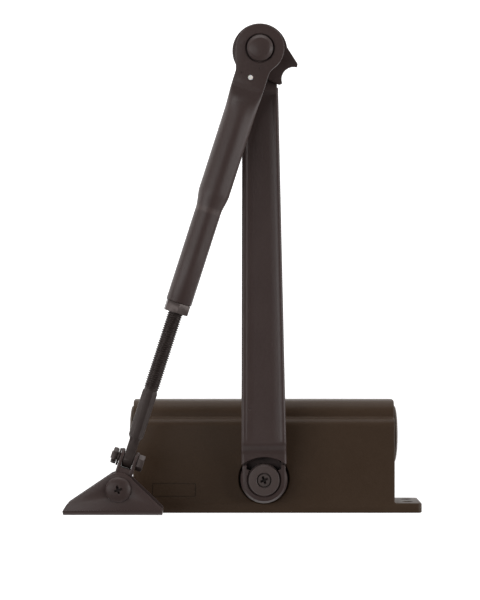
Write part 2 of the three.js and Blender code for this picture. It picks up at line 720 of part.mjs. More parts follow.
const bracketGroup = placed(
  ELBOW.x + SWIVEL_AT * Math.cos(FOREARM_ANGLE), ELBOW.y + SWIVEL_AT * Math.sin(FOREARM_ANGLE), 0,
  named("bracket", bracket(), ARM_PAINT),
  named("pivot_screw", pivotScrew(), DARK_STEEL),
  named("pivot_nut", pivotNut(), DARK_STEEL),
);

const group = new THREE.Group();
group.add(body, pinionStack, armGroup, elbowGroup, forearmGroup, bracketGroup);

export default group;
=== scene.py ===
import math
import bmesh
import bpy
from mathutils import Matrix, Vector


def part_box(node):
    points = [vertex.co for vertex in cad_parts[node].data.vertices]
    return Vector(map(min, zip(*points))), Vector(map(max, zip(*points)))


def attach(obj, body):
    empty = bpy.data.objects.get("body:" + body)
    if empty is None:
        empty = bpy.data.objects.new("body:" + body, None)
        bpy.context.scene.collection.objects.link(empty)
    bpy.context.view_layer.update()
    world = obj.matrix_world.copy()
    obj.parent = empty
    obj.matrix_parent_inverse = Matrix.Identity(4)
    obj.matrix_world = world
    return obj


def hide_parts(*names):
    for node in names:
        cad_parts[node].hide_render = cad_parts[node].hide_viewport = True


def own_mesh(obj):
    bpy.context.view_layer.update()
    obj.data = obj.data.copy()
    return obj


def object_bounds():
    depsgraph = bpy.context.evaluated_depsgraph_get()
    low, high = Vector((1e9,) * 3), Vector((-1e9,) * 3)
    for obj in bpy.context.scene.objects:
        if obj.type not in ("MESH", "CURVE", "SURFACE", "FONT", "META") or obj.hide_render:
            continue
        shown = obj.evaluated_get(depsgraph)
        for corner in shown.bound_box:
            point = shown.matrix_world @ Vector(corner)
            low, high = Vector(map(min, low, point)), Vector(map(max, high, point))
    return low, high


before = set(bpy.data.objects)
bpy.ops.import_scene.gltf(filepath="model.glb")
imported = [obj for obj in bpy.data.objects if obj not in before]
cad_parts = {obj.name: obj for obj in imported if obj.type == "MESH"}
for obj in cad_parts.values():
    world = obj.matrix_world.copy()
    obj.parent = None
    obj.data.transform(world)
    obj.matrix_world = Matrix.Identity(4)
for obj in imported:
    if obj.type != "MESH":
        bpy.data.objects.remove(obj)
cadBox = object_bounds()
mm = 0.001

# camera and light

studio = {
    "camera": (0.0136, -0.1212, 1.5218), "lens": 158.2, "sensor": 36,
    "sky": 0.36, "zenith": 0.10, "floorGlow": 0.75, "floorReach": 7000,
    "softboxes": {  # place, size, power
        "leftSoftbox": ((1.1, -0.2, 1.25), (0.6, 1.8), 14),
        "rightSoftbox": ((-1.5, -0.15, 0.6), (0.6, 1.8), 15),
        "topSoftbox": ((0.1, -1.9, 0.35), (2.0, 0.5), 12),
    },
}


def setUpStudio(look):
    camera = bpy.data.objects.new("camera", bpy.data.cameras.new("camera"))
    bpy.context.scene.collection.objects.link(camera)
    camera.location = look["camera"]
    camera.rotation_euler = (0, 0, math.pi)     # straight down on the closer, elbow at the top
    camera.data.lens = look["lens"]
    camera.data.sensor_width = look["sensor"]
    bpy.context.scene.camera = camera
    bpy.context.scene.view_settings.view_transform = "Standard"

    middle = (cadBox[0] + cadBox[1]) / 2
    for name, (place, size, power) in look["softboxes"].items():
        lamp = bpy.data.lights.new(name, "AREA")
        lamp.shape = "RECTANGLE"
        lamp.size, lamp.size_y = size
        lamp.energy = power
        holder = bpy.data.objects.new(name, lamp)
        bpy.context.scene.collection.objects.link(holder)
        holder.location = place
        holder.rotation_euler = (middle - Vector(place)).to_track_quat("-Z", "Y").to_euler()

    # a soft room that is bright round the sides and dim overhead
    world = bpy.data.worlds.new("room")
    bpy.context.scene.world = world
    world.use_nodes = True
    nodes, links = world.node_tree.nodes, world.node_tree.links
    background = nodes["Background"]
    direction = nodes.new("ShaderNodeTexCoord")
    split = nodes.new("ShaderNodeSeparateXYZ")
    fade = nodes.new("ShaderNodeMapRange")
    fade.interpolation_type = "SMOOTHSTEP"
    for socket, value in {"From Min": 0.45, "From Max": 0.95, "To Min": look["sky"],
                          "To Max": look["zenith"]}.items():
        fade.inputs[socket].default_value = value
    links.new(direction.outputs["Generated"], split.inputs[0])
    links.new(split.outputs["Z"], fade.inputs["Value"])
    links.new(fade.outputs[0], background.inputs["Strength"])
    background.inputs["Color"].default_value = (1, 1, 1, 1)


# shader maths

class Wire:
    # one output of a node; arithmetic on it adds Math nodes
    def __init__(self, finish, socket):
        self.finish = finish
        self.socket = socket

    def maths(self, operation, first, second):
        return self.finish.node("ShaderNodeMath", {"operation": operation}, {0: first, 1: second})

    def __add__(self, other):
        return self.maths("ADD", self, other)

    def __radd__(self, other):
        return self.maths("ADD", other, self)

    def __sub__(self, other):
        return self.maths("SUBTRACT", self, other)

    def __rsub__(self, other):
        return self.maths("SUBTRACT", other, self)

    def __mul__(self, other):
        return self.maths("MULTIPLY", self, other)

    def __rmul__(self, other):
        return self.maths("MULTIPLY", other, self)


class Finish:
    def __init__(self, name, fixed):
        self.material = bpy.data.materials.new(name)
        self.material.use_nodes = True
        self.tree = self.material.node_tree
        self.shader = self.tree.nodes["Principled BSDF"]
        for socket, value in fixed.items():
            self.shader.inputs[socket].default_value = value
        self.spot = self.node("ShaderNodeTexCoord", {}, {}, "Object")

    def node(self, kind, settings, inputs, output=0):
        made = self.tree.nodes.new(kind)
        for key, value in settings.items():
            setattr(made, key, value)
        for key, value in inputs.items():
            if isinstance(value, Wire):
                self.tree.links.new(value.socket, made.inputs[key])
            else:
                made.inputs[key].default_value = value
        return Wire(self, made.outputs[output])

    def feed(self, socket, wire):
        self.tree.links.new(wire.socket, self.shader.inputs[socket])

    def noise(self, scale, detail=2.0, stretch=None):
        spot = self.spot
        if stretch:
            spot = self.node("ShaderNodeVectorMath", {"operation": "MULTIPLY"}, {0: spot, 1: stretch})
        return self.node("ShaderNodeTexNoise", {}, {"Vector": spot, "Scale": scale, "Detail": detail})

    def blend(self, share, first, second):
        return self.node("ShaderNodeMix", {"data_type": "RGBA"}, {0: share, 6: first, 7: second}, 2)

    def band(self, value, low, high):
        return self.node("ShaderNodeMapRange", {"interpolation_type": "SMOOTHSTEP"},
                         {"Value": value, "From Min": low, "From Max": high})

    def shade(self, reach, inside):
        # how closed in a point is within reach; from inside the metal it finds the outer edges
        settings = {"samples": 6, "inside": inside, "only_local": True}
        return 1 - self.node("ShaderNodeAmbientOcclusion", settings, {"Distance": reach}, 1)

    def bump(self, height, depth, strength=1.0):
        return self.node("ShaderNodeBump", {}, {"Strength": strength, "Distance": depth, "Height": height})


# powder-coated castings and pressings
def paintFinish(name, look):
    finish = Finish(name, {"Specular IOR Level": look["gloss"], "IOR": 1.5})
    cloud = finish.noise(look["cloud"], 3)
    grain = finish.noise(look["grain"], 2)
    grit = finish.noise(look["grit"], 1)
    edge = finish.band(finish.shade(look["edgeReach"], True), 0.15, 0.75)
    corner = finish.band(finish.shade(look["cornerReach"], False), 0.2, 0.9)
    # painted highlight in worn-looking patches: convex edges lightened towards the bare colour
    highlightPatches = edge * finish.band(cloud * 0.6 + grain * 0.4, 0.38, 0.62)
    colour = finish.blend(cloud * 0.45 + grain * 0.3 + grit * 0.25, look["dark"], look["light"])
    # painted highlight: convex edges lightened towards the edge colour
    colour = finish.blend(edge * look["edgeHighlightShare"], colour, look["edge"])
    colour = finish.blend(highlightPatches * look["patchyHighlight"], colour, look["bare"])
    # painted shade: corners and recesses darkened towards the shade colour
    colour = finish.blend(corner * look["paintedShade"], colour, look["shadeColour"])
    finish.feed("Base Color", colour)
    finish.feed("Roughness", look["rough"] + (grain - 0.5) * 0.16 + (cloud - 0.5) * 0.1 - highlightPatches * 0.12)
    finish.feed("Normal", finish.bump(grain * 0.7 + grit * 0.3, look["relief"]))
    return finish.material


# bare, browned or plated metal, with marks that run along one axis
def metalFinish(name, look):
    finish = Finish(name, {"Specular IOR Level": look["gloss"]})
    cloud = finish.noise(look["cloud"], 3)
    marks = finish.noise(look["marks"], 3, look["stretch"])
    fine = finish.noise(look["fine"], 1)
    edge = finish.band(finish.shade(look["edgeReach"], True), 0.15, 0.75)
    corner = finish.band(finish.shade(look["cornerReach"], False), 0.2, 0.9)
    colour = finish.blend(cloud * 0.5 + marks * 0.5, look["dark"], look["light"])
    # painted highlight in worn-looking patches: convex edges lightened towards bare metal
    colour = finish.blend(edge * look["patchyHighlight"], colour, look["bare"])
    # painted shade: corners and recesses darkened towards the shade colour
    colour = finish.blend(corner * look["paintedShade"], colour, look["shadeColour"])
    finish.feed("Base Color", colour)
    finish.feed("Metallic", look["metal"] + edge * look["patchyHighlight"] * (1 - look["metal"]))
    finish.feed("Roughness", look["rough"] + (marks - 0.5) * 0.2 + (cloud - 0.5) * 0.15)
    finish.feed("Normal", finish.bump(marks * 0.6 + fine * 0.4, look["relief"]))
    return finish.material


# rubber and nylon
def mouldedFinish(name, look):
    finish = Finish(name, {"Specular IOR Level": look["gloss"], "Subsurface Weight": look["glow"],
                           "Subsurface Scale": 0.002})
    cloud = finish.noise(look["cloud"], 3)
    grain = finish.noise(look["grain"], 2)
    corner = finish.band(finish.shade(look["cornerReach"], False), 0.2, 0.9)
    colour = finish.blend(cloud * 0.6 + grain * 0.4, look["dark"], look["light"])
    # painted shade: corners and recesses darkened towards the shade colour
    colour = finish.blend(corner * look["paintedShade"], colour, look["shadeColour"])
    finish.feed("Base Color", colour)
    finish.feed("Roughness", look["rough"] + (grain - 0.5) * 0.2)
    finish.feed("Normal", finish.bump(grain, look["relief"]))
    return finish.material


# edge is a painted highlight colour for convex edges; shadeColour is the painted shade in corners and
# recesses
bodyPaintLook = {
    "dark": (0.0320, 0.0168, 0.0088, 1), "light": (0.060, 0.0365, 0.0212, 1),
    "edge": (0.080, 0.055, 0.036, 1), "bare": (0.13, 0.095, 0.065, 1), "shadeColour": (0.012, 0.007, 0.004, 1),
    "cloud": 38, "grain": 900, "grit": 3200, "edgeReach": 0.0007, "cornerReach": 0.002,
    "edgeHighlightShare": 0.35, "patchyHighlight": 0.12, "paintedShade": 0.4, "rough": 0.48, "gloss": 0.18, "relief": 0.00009,
}
# strong painted shade here darkens the pocket under the lip and the arm's inner corners nearly to black
armPaintLook = {
    "dark": (0.036, 0.0225, 0.0205, 1), "light": (0.062, 0.0410, 0.0375, 1),
    "edge": (0.094, 0.068, 0.062, 1), "bare": (0.16, 0.120, 0.110, 1), "shadeColour": (0.004, 0.0026, 0.0023, 1),
    "cloud": 42, "grain": 800, "grit": 2800, "edgeReach": 0.0006, "cornerReach": 0.0035,
    "edgeHighlightShare": 0.4, "patchyHighlight": 0.2, "paintedShade": 0.93, "rough": 0.40, "gloss": 0.28, "relief": 0.00007,
}
washerPaintLook = dict(armPaintLook, dark=(0.056, 0.040, 0.037, 1), light=(0.085, 0.063, 0.058, 1))
darkSteelLook = {
    "dark": (0.022, 0.014, 0.012, 1), "light": (0.055, 0.040, 0.036, 1), "bare": (0.22, 0.18, 0.165, 1),
    "shadeColour": (0.008, 0.005, 0.004, 1), "cloud": 120, "marks": 260, "fine": 2600, "stretch": (1, 1, 6),
    "edgeReach": 0.0004, "cornerReach": 0.0012, "patchyHighlight": 0.22, "paintedShade": 0.6, "metal": 0.35, "rough": 0.42,
    "gloss": 0.4, "relief": 0.00003,
}
nutLook = dict(darkSteelLook, dark=(0.05, 0.037, 0.034, 1), light=(0.09, 0.068, 0.063, 1))
# strong painted shade blackens the screws' cross recesses and the rings round their heads
screwLook = dict(darkSteelLook, dark=(0.05, 0.037, 0.034, 1), light=(0.09, 0.07, 0.065, 1),
                 shadeColour=(0.003, 0.002, 0.002, 1), cornerReach=0.0025, paintedShade=0.97)
panHeadLook = dict(armPaintLook, dark=(0.034, 0.0215, 0.0195, 1), light=(0.056, 0.037, 0.034, 1),
                   shadeColour=(0.003, 0.002, 0.002, 1), grain=1100, rough=0.42, gloss=0.22, paintedShade=0.97)
brightSteelLook = dict(darkSteelLook, dark=(0.33, 0.33, 0.33, 1), light=(0.55, 0.55, 0.54, 1),
                       bare=(0.7, 0.7, 0.69, 1), shadeColour=(0.12, 0.11, 0.10, 1), metal=0.95, rough=0.3, gloss=0.5,
                       patchyHighlight=0.3, paintedShade=0.4)
springSteelLook = dict(darkSteelLook, dark=(0.06, 0.065, 0.075, 1), light=(0.13, 0.14, 0.155, 1),
                       bare=(0.3, 0.31, 0.33, 1), metal=0.85, rough=0.36, patchyHighlight=0.3)
brassLook = dict(darkSteelLook, dark=(0.42, 0.27, 0.09, 1), light=(0.62, 0.43, 0.17, 1),
                 bare=(0.8, 0.6, 0.3, 1), shadeColour=(0.12, 0.07, 0.02, 1), metal=0.95, rough=0.32, gloss=0.5)
rubberLook = {
    "dark": (0.006, 0.006, 0.006, 1), "light": (0.018, 0.017, 0.017, 1), "shadeColour": (0.003, 0.003, 0.003, 1),
    "cloud": 90, "grain": 1800, "cornerReach": 0.001, "paintedShade": 0.5, "rough": 0.72, "gloss": 0.3, "glow": 0.0,
    "relief": 0.00004,
}
whiteNylonLook = dict(rubberLook, dark=(0.74, 0.69, 0.66, 1), light=(0.86, 0.82, 0.79, 1),
                      shadeColour=(0.45, 0.38, 0.34, 1), rough=0.42, gloss=0.5, glow=0.15, relief=0.00002)
blackNylonLook = dict(rubberLook, dark=(0.010, 0.009, 0.0085, 1), light=(0.024, 0.022, 0.021, 1), rough=0.5,
                      gloss=0.45)


# outlines

def arc(cx, cy, radius, start, end, steps=8):
    # points on a round stretch; angles in degrees
    turns = [math.radians(start + (end - start) * i / steps) for i in range(steps + 1)]
    return [(cx + radius * math.cos(turn), cy + radius * math.sin(turn)) for turn in turns]


def rounded(corners, radius, steps=6):
    # rounds each corner of a closed outline; a corner may carry its own radius as a third number
    outline = []
    for i, corner in enumerate(corners):
        following = corners[(i + 1) % len(corners)]
        here, before, after = (Vector(spot[:2]) for spot in (corner, corners[i - 1], following))
        size = corner[2] if len(corner) > 2 else radius
        toBefore, toAfter = (before - here).normalized(), (after - here).normalized()
        half = toBefore.angle(toAfter) / 2
        if size == 0:
            outline.append(tuple(here))
            continue
        centre = here + (toBefore + toAfter).normalized() * size / math.sin(half)
        first = here + toBefore * size / math.tan(half) - centre
        last = here + toAfter * size / math.tan(half) - centre
        start, end = math.atan2(first.y, first.x), math.atan2(last.y, last.x)
        sweep = (end - start + math.pi) % (2 * math.pi) - math.pi
        outline += arc(centre.x, centre.y, size, math.degrees(start), math.degrees(start + sweep), steps)
    return outline


def rectangle(x0, x1, y0, y1, radius, steps=6):
    return rounded([(x0, y0), (x1, y0), (x1, y1), (x0, y1)], radius, steps)


def hexagon(acrossFlats):
    return arc(0, 0, acrossFlats / 2 / math.cos(math.radians(30)), 0, 300, 5)


# solids, made in millimetres

def solid(name, points, faces):
    mesh = bpy.data.meshes.new(name)
    mesh.from_pydata([Vector(point) * mm for point in points], [], faces)
    work = bmesh.new()
    work.from_mesh(mesh)
    bmesh.ops.recalc_face_normals(work, faces=work.faces)
    work.to_mesh(mesh)
    work.free()
    piece = bpy.data.objects.new(name, mesh)
    bpy.context.scene.collection.objects.link(piece)
    return piece


def rim(radius, height, sides=24):
    return [(x, y, height) for x, y in arc(0, 0, radius, 0, 360 - 360 / sides, sides - 1)]


def loft(name, rings):
    # a closed solid through rings of points, each with the same count
    count = len(rings[0])
    faces = [tuple(reversed(range(count))), tuple(range((len(rings) - 1) * count, len(rings) * count))]
    for near in range(0, (len(rings) - 1) * count, count):
        for i in range(count):
            after = (i + 1) % count
            faces.append((near + i, near + after, near + count + after, near + count + i))
    return solid(name, [point for ring in rings for point in ring], faces)


def prism(name, outline, low, high):
    return loft(name, [[(x, y, low) for x, y in outline], [(x, y, high) for x, y in outline]])


def lathe(name, profile, sides=64):
    # turned about Z from (radius, height) corners: from axis to axis, or a ring that closes on itself
    points, rows, faces = [], [], []
    for radius, height in profile:
        if radius == 0:
            rows.append([len(points)] * sides)
            points.append((0, 0, height))
        else:
            rows.append(list(range(len(points), len(points) + sides)))
            points += [(x, y, height) for x, y in arc(0, 0, radius, 0.7, 360.7 - 360 / sides, sides - 1)]
    pairs = list(zip(rows, rows[1:]))
    if profile[0][0] > 0:
        pairs.append((rows[-1], rows[0]))
    for lower, upper in pairs:
        for i in range(sides):
            after = (i + 1) % sides
            corners = [lower[i], lower[after], upper[after], upper[i]]
            faces.append([c for place, c in enumerate(corners) if c not in corners[:place]])
    return solid(name, points, [face for face in faces if len(face) > 2])


def settle(piece):
    # applies what is on the piece's modifier stack
    graph = bpy.context.evaluated_depsgraph_get()
    piece.data = bpy.data.meshes.new_from_object(piece.evaluated_get(graph))
    piece.modifiers.clear()
    return piece


def bevel(piece, width, segments=2, angle=32):
    edge = piece.modifiers.new("bevel", "BEVEL")
    edge.width = width * mm
    edge.segments = segments
    edge.limit_method = "ANGLE"
    edge.angle_limit = math.radians(angle)
    edge.use_clamp_overlap = False
    return settle(piece)


def combine(piece, operation, tools):
    for tool in tools:
        step = piece.modifiers.new("combine", "BOOLEAN")
        step.solver = "EXACT"
        step.operation = operation
        step.object = tool
        settle(piece)
        bpy.data.objects.remove(tool)
    return piece


def cut(piece, *tools):
    return combine(piece, "DIFFERENCE", tools)


def join(piece, *tools):
    return combine(piece, "UNION", tools)


def common(piece, *tools):
    return combine(piece, "INTERSECT", tools)


def move(piece, x=0.0, y=0.0, z=0.0):
    piece.data.transform(Matrix.Translation(Vector((x, y, z)) * mm))
    return piece


def turn(piece, degrees, axis="Z"):
    piece.data.transform(Matrix.Rotation(math.radians(degrees), 4, axis))
    return piece


def alongX(piece):
    return turn(piece, 90, "Y")


def alongMinusX(piece):
    return turn(piece, -90, "Y")


def alongMinusY(piece):
    return turn(piece, 90, "X")


def span(node):
    low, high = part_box(node)
    return low / mm, high / mm


def middleOf(node):
    low, high = span(node)
    return (low + high) / 2


def dress(piece, body, finish, node, sharp=34):
    # the finished piece takes its material, rides its body and stands for its CAD node
    piece.data.shade_smooth()
    piece.data.set_sharp_from_angle(angle=math.radians(sharp))
    piece.data.materials.clear()
    piece.data.materials.append(finish)
    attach(piece, body)
    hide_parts(node)
    return piece


# the frame's places

pinion, elbow, swivel = (middleOf(node).xy for node in ("spindle_cap", "elbow_stud", "pivot_screw"))
armAngle = math.degrees(math.atan2(elbow.y - pinion.y, elbow.x - pinion.x))
armLength = (elbow - pinion).length
forearmAngle = math.degrees(math.atan2(swivel.y - elbow.y, swivel.x - elbow.x))
swivelAt = (swivel - elbow).length
boreY = middleOf("valve_end_cap").y
rodZ = middleOf("jam_nut").z


def atPinion(piece):
    return move(piece, pinion.x, pinion.y)


def onArm(piece):
    return atPinion(turn(piece, armAngle))


def atElbow(piece):
    return move(piece, elbow.x, elbow.y)


def onForearm(piece):
    return atElbow(turn(piece, forearmAngle))


def atSwivel(piece):
    return move(piece, swivel.x, swivel.y)


def onRod(piece, x=0.0):
    return onForearm(move(piece, x, z=rodZ))


def inBore(piece, stand=alongX):
    return move(stand(piece), y=boreY)


# screws and nuts

def crossRecess(name, reach, width, low, high, angle):
    # a driver's cross that narrows towards its tip
    def wing(across):
        def ring(share, height):
            outline = rectangle(-reach, reach, -width, width, width * 0.45, 3)
            return [(x * share, y, height) for x, y in outline]
        made = loft(name + across, [ring(0.35, low), ring(1, high)])
        return turn(made, 90) if across == "Y" else made
    heart = lathe(name, [(0, low - width), (width * 1.7, high), (0, high)], 16)
    return turn(join(heart, wing("X"), wing("Y")), angle)


def hexNut(name, acrossFlats, low, high, hole, crown=1.0):
    # hexagon with turned crowns on both faces and a countersunk hole
    corner = acrossFlats / 2 / math.cos(math.radians(30))
    flat = acrossFlats / 2 * 0.97
    drop = (corner - flat) * 0.55 * crown
    crowns = lathe(name + "Crowns", [
        (0, low), (flat, low), (corner + 0.05, low + drop), (corner + 0.05, high - drop), (flat, high),
        (0, high),
    ], 48)
    nut = common(prism(name, hexagon(acrossFlats), low - 1, high + 1), crowns)
    if hole:
        nut = cut(nut, lathe(name + "Hole", [
            (0, low - 1), (hole + 1.4, low - 1), (hole, low + 0.45), (hole, high - 0.45),
            (hole + 1.4, high + 1), (0, high + 1),
        ], 40))
    return bevel(nut, 0.12, 2, 24)


def threadRings(root, crest, pitch, start, end, sides, perPitch=8):
    # rings along Z of a right-handed thread that runs out at both ends
    rings = []
    steps = round((end - start) / pitch * perPitch)
    for step in range(steps + 1):
        height = start + (end - start) * step / steps
        depth = min(1, (height - start) / pitch, (end - height) / pitch)
        ring = []
        for side in range(sides):
            angle = 2 * math.pi * side / sides
            phase = (height / pitch - side / sides) % 1
            wave = min(1, max(0, 1.3 - abs(phase - 0.5) * 3.4))
            radius = root + (crest - root) * wave * max(0, depth)
            ring.append((radius * math.cos(angle), radius * math.sin(angle), height))
        rings.append(ring)
    return rings


# the body

bodyLook = {
    "length": 149, "slabDepth": 54, "slabCorner": 5, "noseHalf": 17.3, "noseCorner": 9, "noseDepth": 64,
    "edge": 0.7, "lugThickness": 5.6, "lugCorner": 3, "lugHole": (82.5, 9.5), "lugFillet": 1.2,
    "plate": (38.6, 63.8, -17.2, -9.1), "plateDepth": 0.3, "recess": 14.3, "recessDepth": 1.5,
}


def castSection(look, top):
    # the slab's two rounded edges, with the lower rounded nose standing out between them
    radius, centre = look["slabCorner"], look["slabCorner"] - look["slabDepth"]
    half, corner, nose = look["noseHalf"], look["noseCorner"], look["noseDepth"]
    meet = math.degrees(math.acos((half - top + radius) / radius))
    right = [(top, 0)] + arc(top - radius, centre, radius, 0, -meet, 10)
    right += [(half - 0.15, centre - radius - 0.5)]
    right += arc(half - corner - 0.35, corner - nose, corner, 0, -80, 14) + [(4, -nose)]
    return right + [(-x, y) for x, y in reversed(right)]


def makeHousing(look):
    high = span("housing")[1]
    top, end, floor = high.z, look["length"] / 2, high.z - look["recessDepth"]
    lugEnd, thick, fillet = high.x, look["lugThickness"], look["lugFillet"]
    side = [(lugEnd, 1), (lugEnd, -thick), (end + fillet, -thick)]
    side += arc(end + fillet, -thick - fillet, fillet, 90, 180, 6)[1:] + [(end, -66)]
    plan = side + [(-x, y) for x, y in reversed(side)]
    cast = alongX(prism("castSection", castSection(look, top), -lugEnd - 3, lugEnd + 3))
    body = common(prism("castBody", plan, -top - 1, top + 1), cast)
    corner = look["lugCorner"]
    for across in (-1, 1):          # the lugs' rounded corners
        for up in (-1, 1):
            shape = arc(lugEnd - corner, top - corner, corner + 0.05, 82, 8, 5)
            shape += [(lugEnd + 1, top - corner), (lugEnd + 1, top + 1), (lugEnd - corner, top + 1)]
            shape = [(across * x, up * z) for x, z in shape]
            body = cut(body, alongMinusY(prism("lugCorner", shape, -1, thick + 1)))
    body = bevel(body, look["edge"], 3, 40)

    bore = lathe("bore", [
        (0, -end - 2), (16.2, -end - 2), (16.2, -end), (15.5, 0.7 - end), (15.5, end - 0.7), (16.2, end),
        (16.2, end + 2), (0, end + 2),
    ], 72)
    stack = lathe("pinionStack", [
        (0, -top - 2), (15.6, -top - 2), (14.8, -top), (14.3, 0.6 - top), (14.3, -floor), (9.6, -floor),
        (9.6, -16.3), (11.2, -16.3), (11.2, -9.8), (14.1, -9.8), (14.1, floor), (look["recess"], floor),
        (look["recess"], top - 0.4), (look["recess"] + 0.5, top), (look["recess"] + 1.5, top + 2),
        (0, top + 2),
    ], 72)
    tools = [inBore(bore), atPinion(stack)]

    x0, x1, y0, y1 = look["plate"]
    depth = look["plateDepth"]
    tools.append(prism("plateBed", rectangle(x0, x1, y0, y1, 1.2), top - depth * 0.6, top + 1))
    groove = prism("plateGroove", rectangle(x0, x1, y0, y1, 1.2), top - depth * 1.6, top + 1)
    tools.append(cut(groove, prism("plateTablet", rectangle(x0 + 0.7, x1 - 0.7, y0 + 0.7, y1 - 0.7, 0.8),
                                   top - 3, top + 3)))
    lugX, lugZ = look["lugHole"]
    for x in (-lugX, lugX):
        for z in (-lugZ, lugZ):
            hole = lathe("lugHole", [(0, -1), (2.9, -1), (2.9, thick - 0.4), (3.3, thick), (4.3, thick + 1),
                                     (0, thick + 1)], 32)
            tools.append(move(alongMinusY(hole), x, 0, z))
    valveY = middleOf("closing_valve").y
    for z in (middleOf("closing_valve").z, middleOf("latch_valve").z):
        pocket = lathe("valvePocket", [(0, 52), (3.2, 52), (3.2, end - 0.6), (3.9, end), (4.2, end + 1),
                                       (0, end + 1)], 32)
        passage = lathe("valvePassage", [(0, 0), (1.2, 0), (1.2, 24), (0, 24)], 16)
        tools += [move(alongX(pocket), 0, valveY, z), move(alongMinusY(passage), 56, valveY, z)]
    for side in (-1, 1):            # cored pockets on the door side, either side of the flat middle
        for z in (-9.6, 9.6):
            outline = rectangle(20, 66, z - 7.4, z + 7.4, 3)
            pocket = bevel(prism("corePocket", outline, -2, 2.4), 0.9, 3, 60)
            tools.append(alongMinusY(pocket if side > 0 else turn(pocket, 180)))
    body = cut(body, *tools)
    return dress(body, "closer_body", bodyPaint, "housing")


def makeEndCap(name, node, stand, pilot):
    end = bodyLook["length"] / 2
    cap = lathe(name, [
        (0, 64.5 - pilot), (4.6, 64.5 - pilot), (5, 64.9 - pilot), (5.4, 64.5), (14.8, 64.5), (15.2, 64.9),
        (15.2, 66.4), (13.4, 66.5), (13.4, 68.9), (15.2, 69), (15.2, end + 0.3), (15.8, end + 0.3),
        (16.1, end + 0.55), (16.1, end + 0.9), (15.6, end + 1.35), (13.6, end + 1.85), (10.5, end + 2.25),
        (6.6, end + 2.5), (0, end + 2.6),
    ], 72)
    key = prism("capKey", hexagon(10), end, end + 4)
    keyRim = lathe("capKeyRim", [(0, end + 1.9), (5.3, end + 1.9), (6.4, end + 2.9), (0, end + 2.9)], 48)
    notches = []
    for side in range(4):           # a pin spanner's notches
        notch = lathe("capNotch", [(0, end + 1), (1.1, end + 1), (1.1, end + 4), (0, end + 4)], 16)
        notches.append(turn(move(notch, 12.2), 45 + side * 90))
    cap = cut(cap, key, keyRim, *notches)
    return dress(inBore(cap, stand), "closer_body", bodyPaint, node)


# the main arm

armLook = {
    "widthAtPinion": 25.7, "widthAtElbow": 20.3, "straightEnd": 222, "top": 42, "bottom": 33, "lipTop": 38,
    "rim": 2.4, "sunk": 0.55, "corner": 1.5, "sheet": 2.5, "lipRadius": 21, "lipCentre": -7.5,
    "hub": 13.3, "eye": 11.5, "square": 4.75, "studHole": 4.3,
}


def armHalf(x, look):
    share = x / look["straightEnd"]
    return (look["widthAtPinion"] + (look["widthAtElbow"] - look["widthAtPinion"]) * share) / 2


def armRing(x, top, bottom, sunk, look):
    # the pressed channel's section, from the right flange's foot over the face to the left one
    half, corner, sheet = armHalf(x, look), look["corner"], look["sheet"]
    right = [(half - 0.6, bottom), (half, bottom + 0.6)]
    right += arc(half - corner, top - corner, corner, 0, 90, 6)
    right += [(half - look["rim"], top - sunk * 0.12), (half - look["rim"] - 0.5, top - sunk * 0.6),
              (half - look["rim"] - 1.1, top - sunk), (half * 0.4, top - sunk + 0.03)]
    left = [(-y, z) for y, z in reversed(right)]
    under = [(-(half - sheet), bottom), (-(half - sheet), top - sheet - 1.4)]
    under += arc(-(half - sheet - 1.2), top - sheet - 1.3, 1.2, 180, 90, 4)
    under += [(-y, z) for y, z in reversed(under)]
    return [(x, y, z) for y, z in right + left + under]


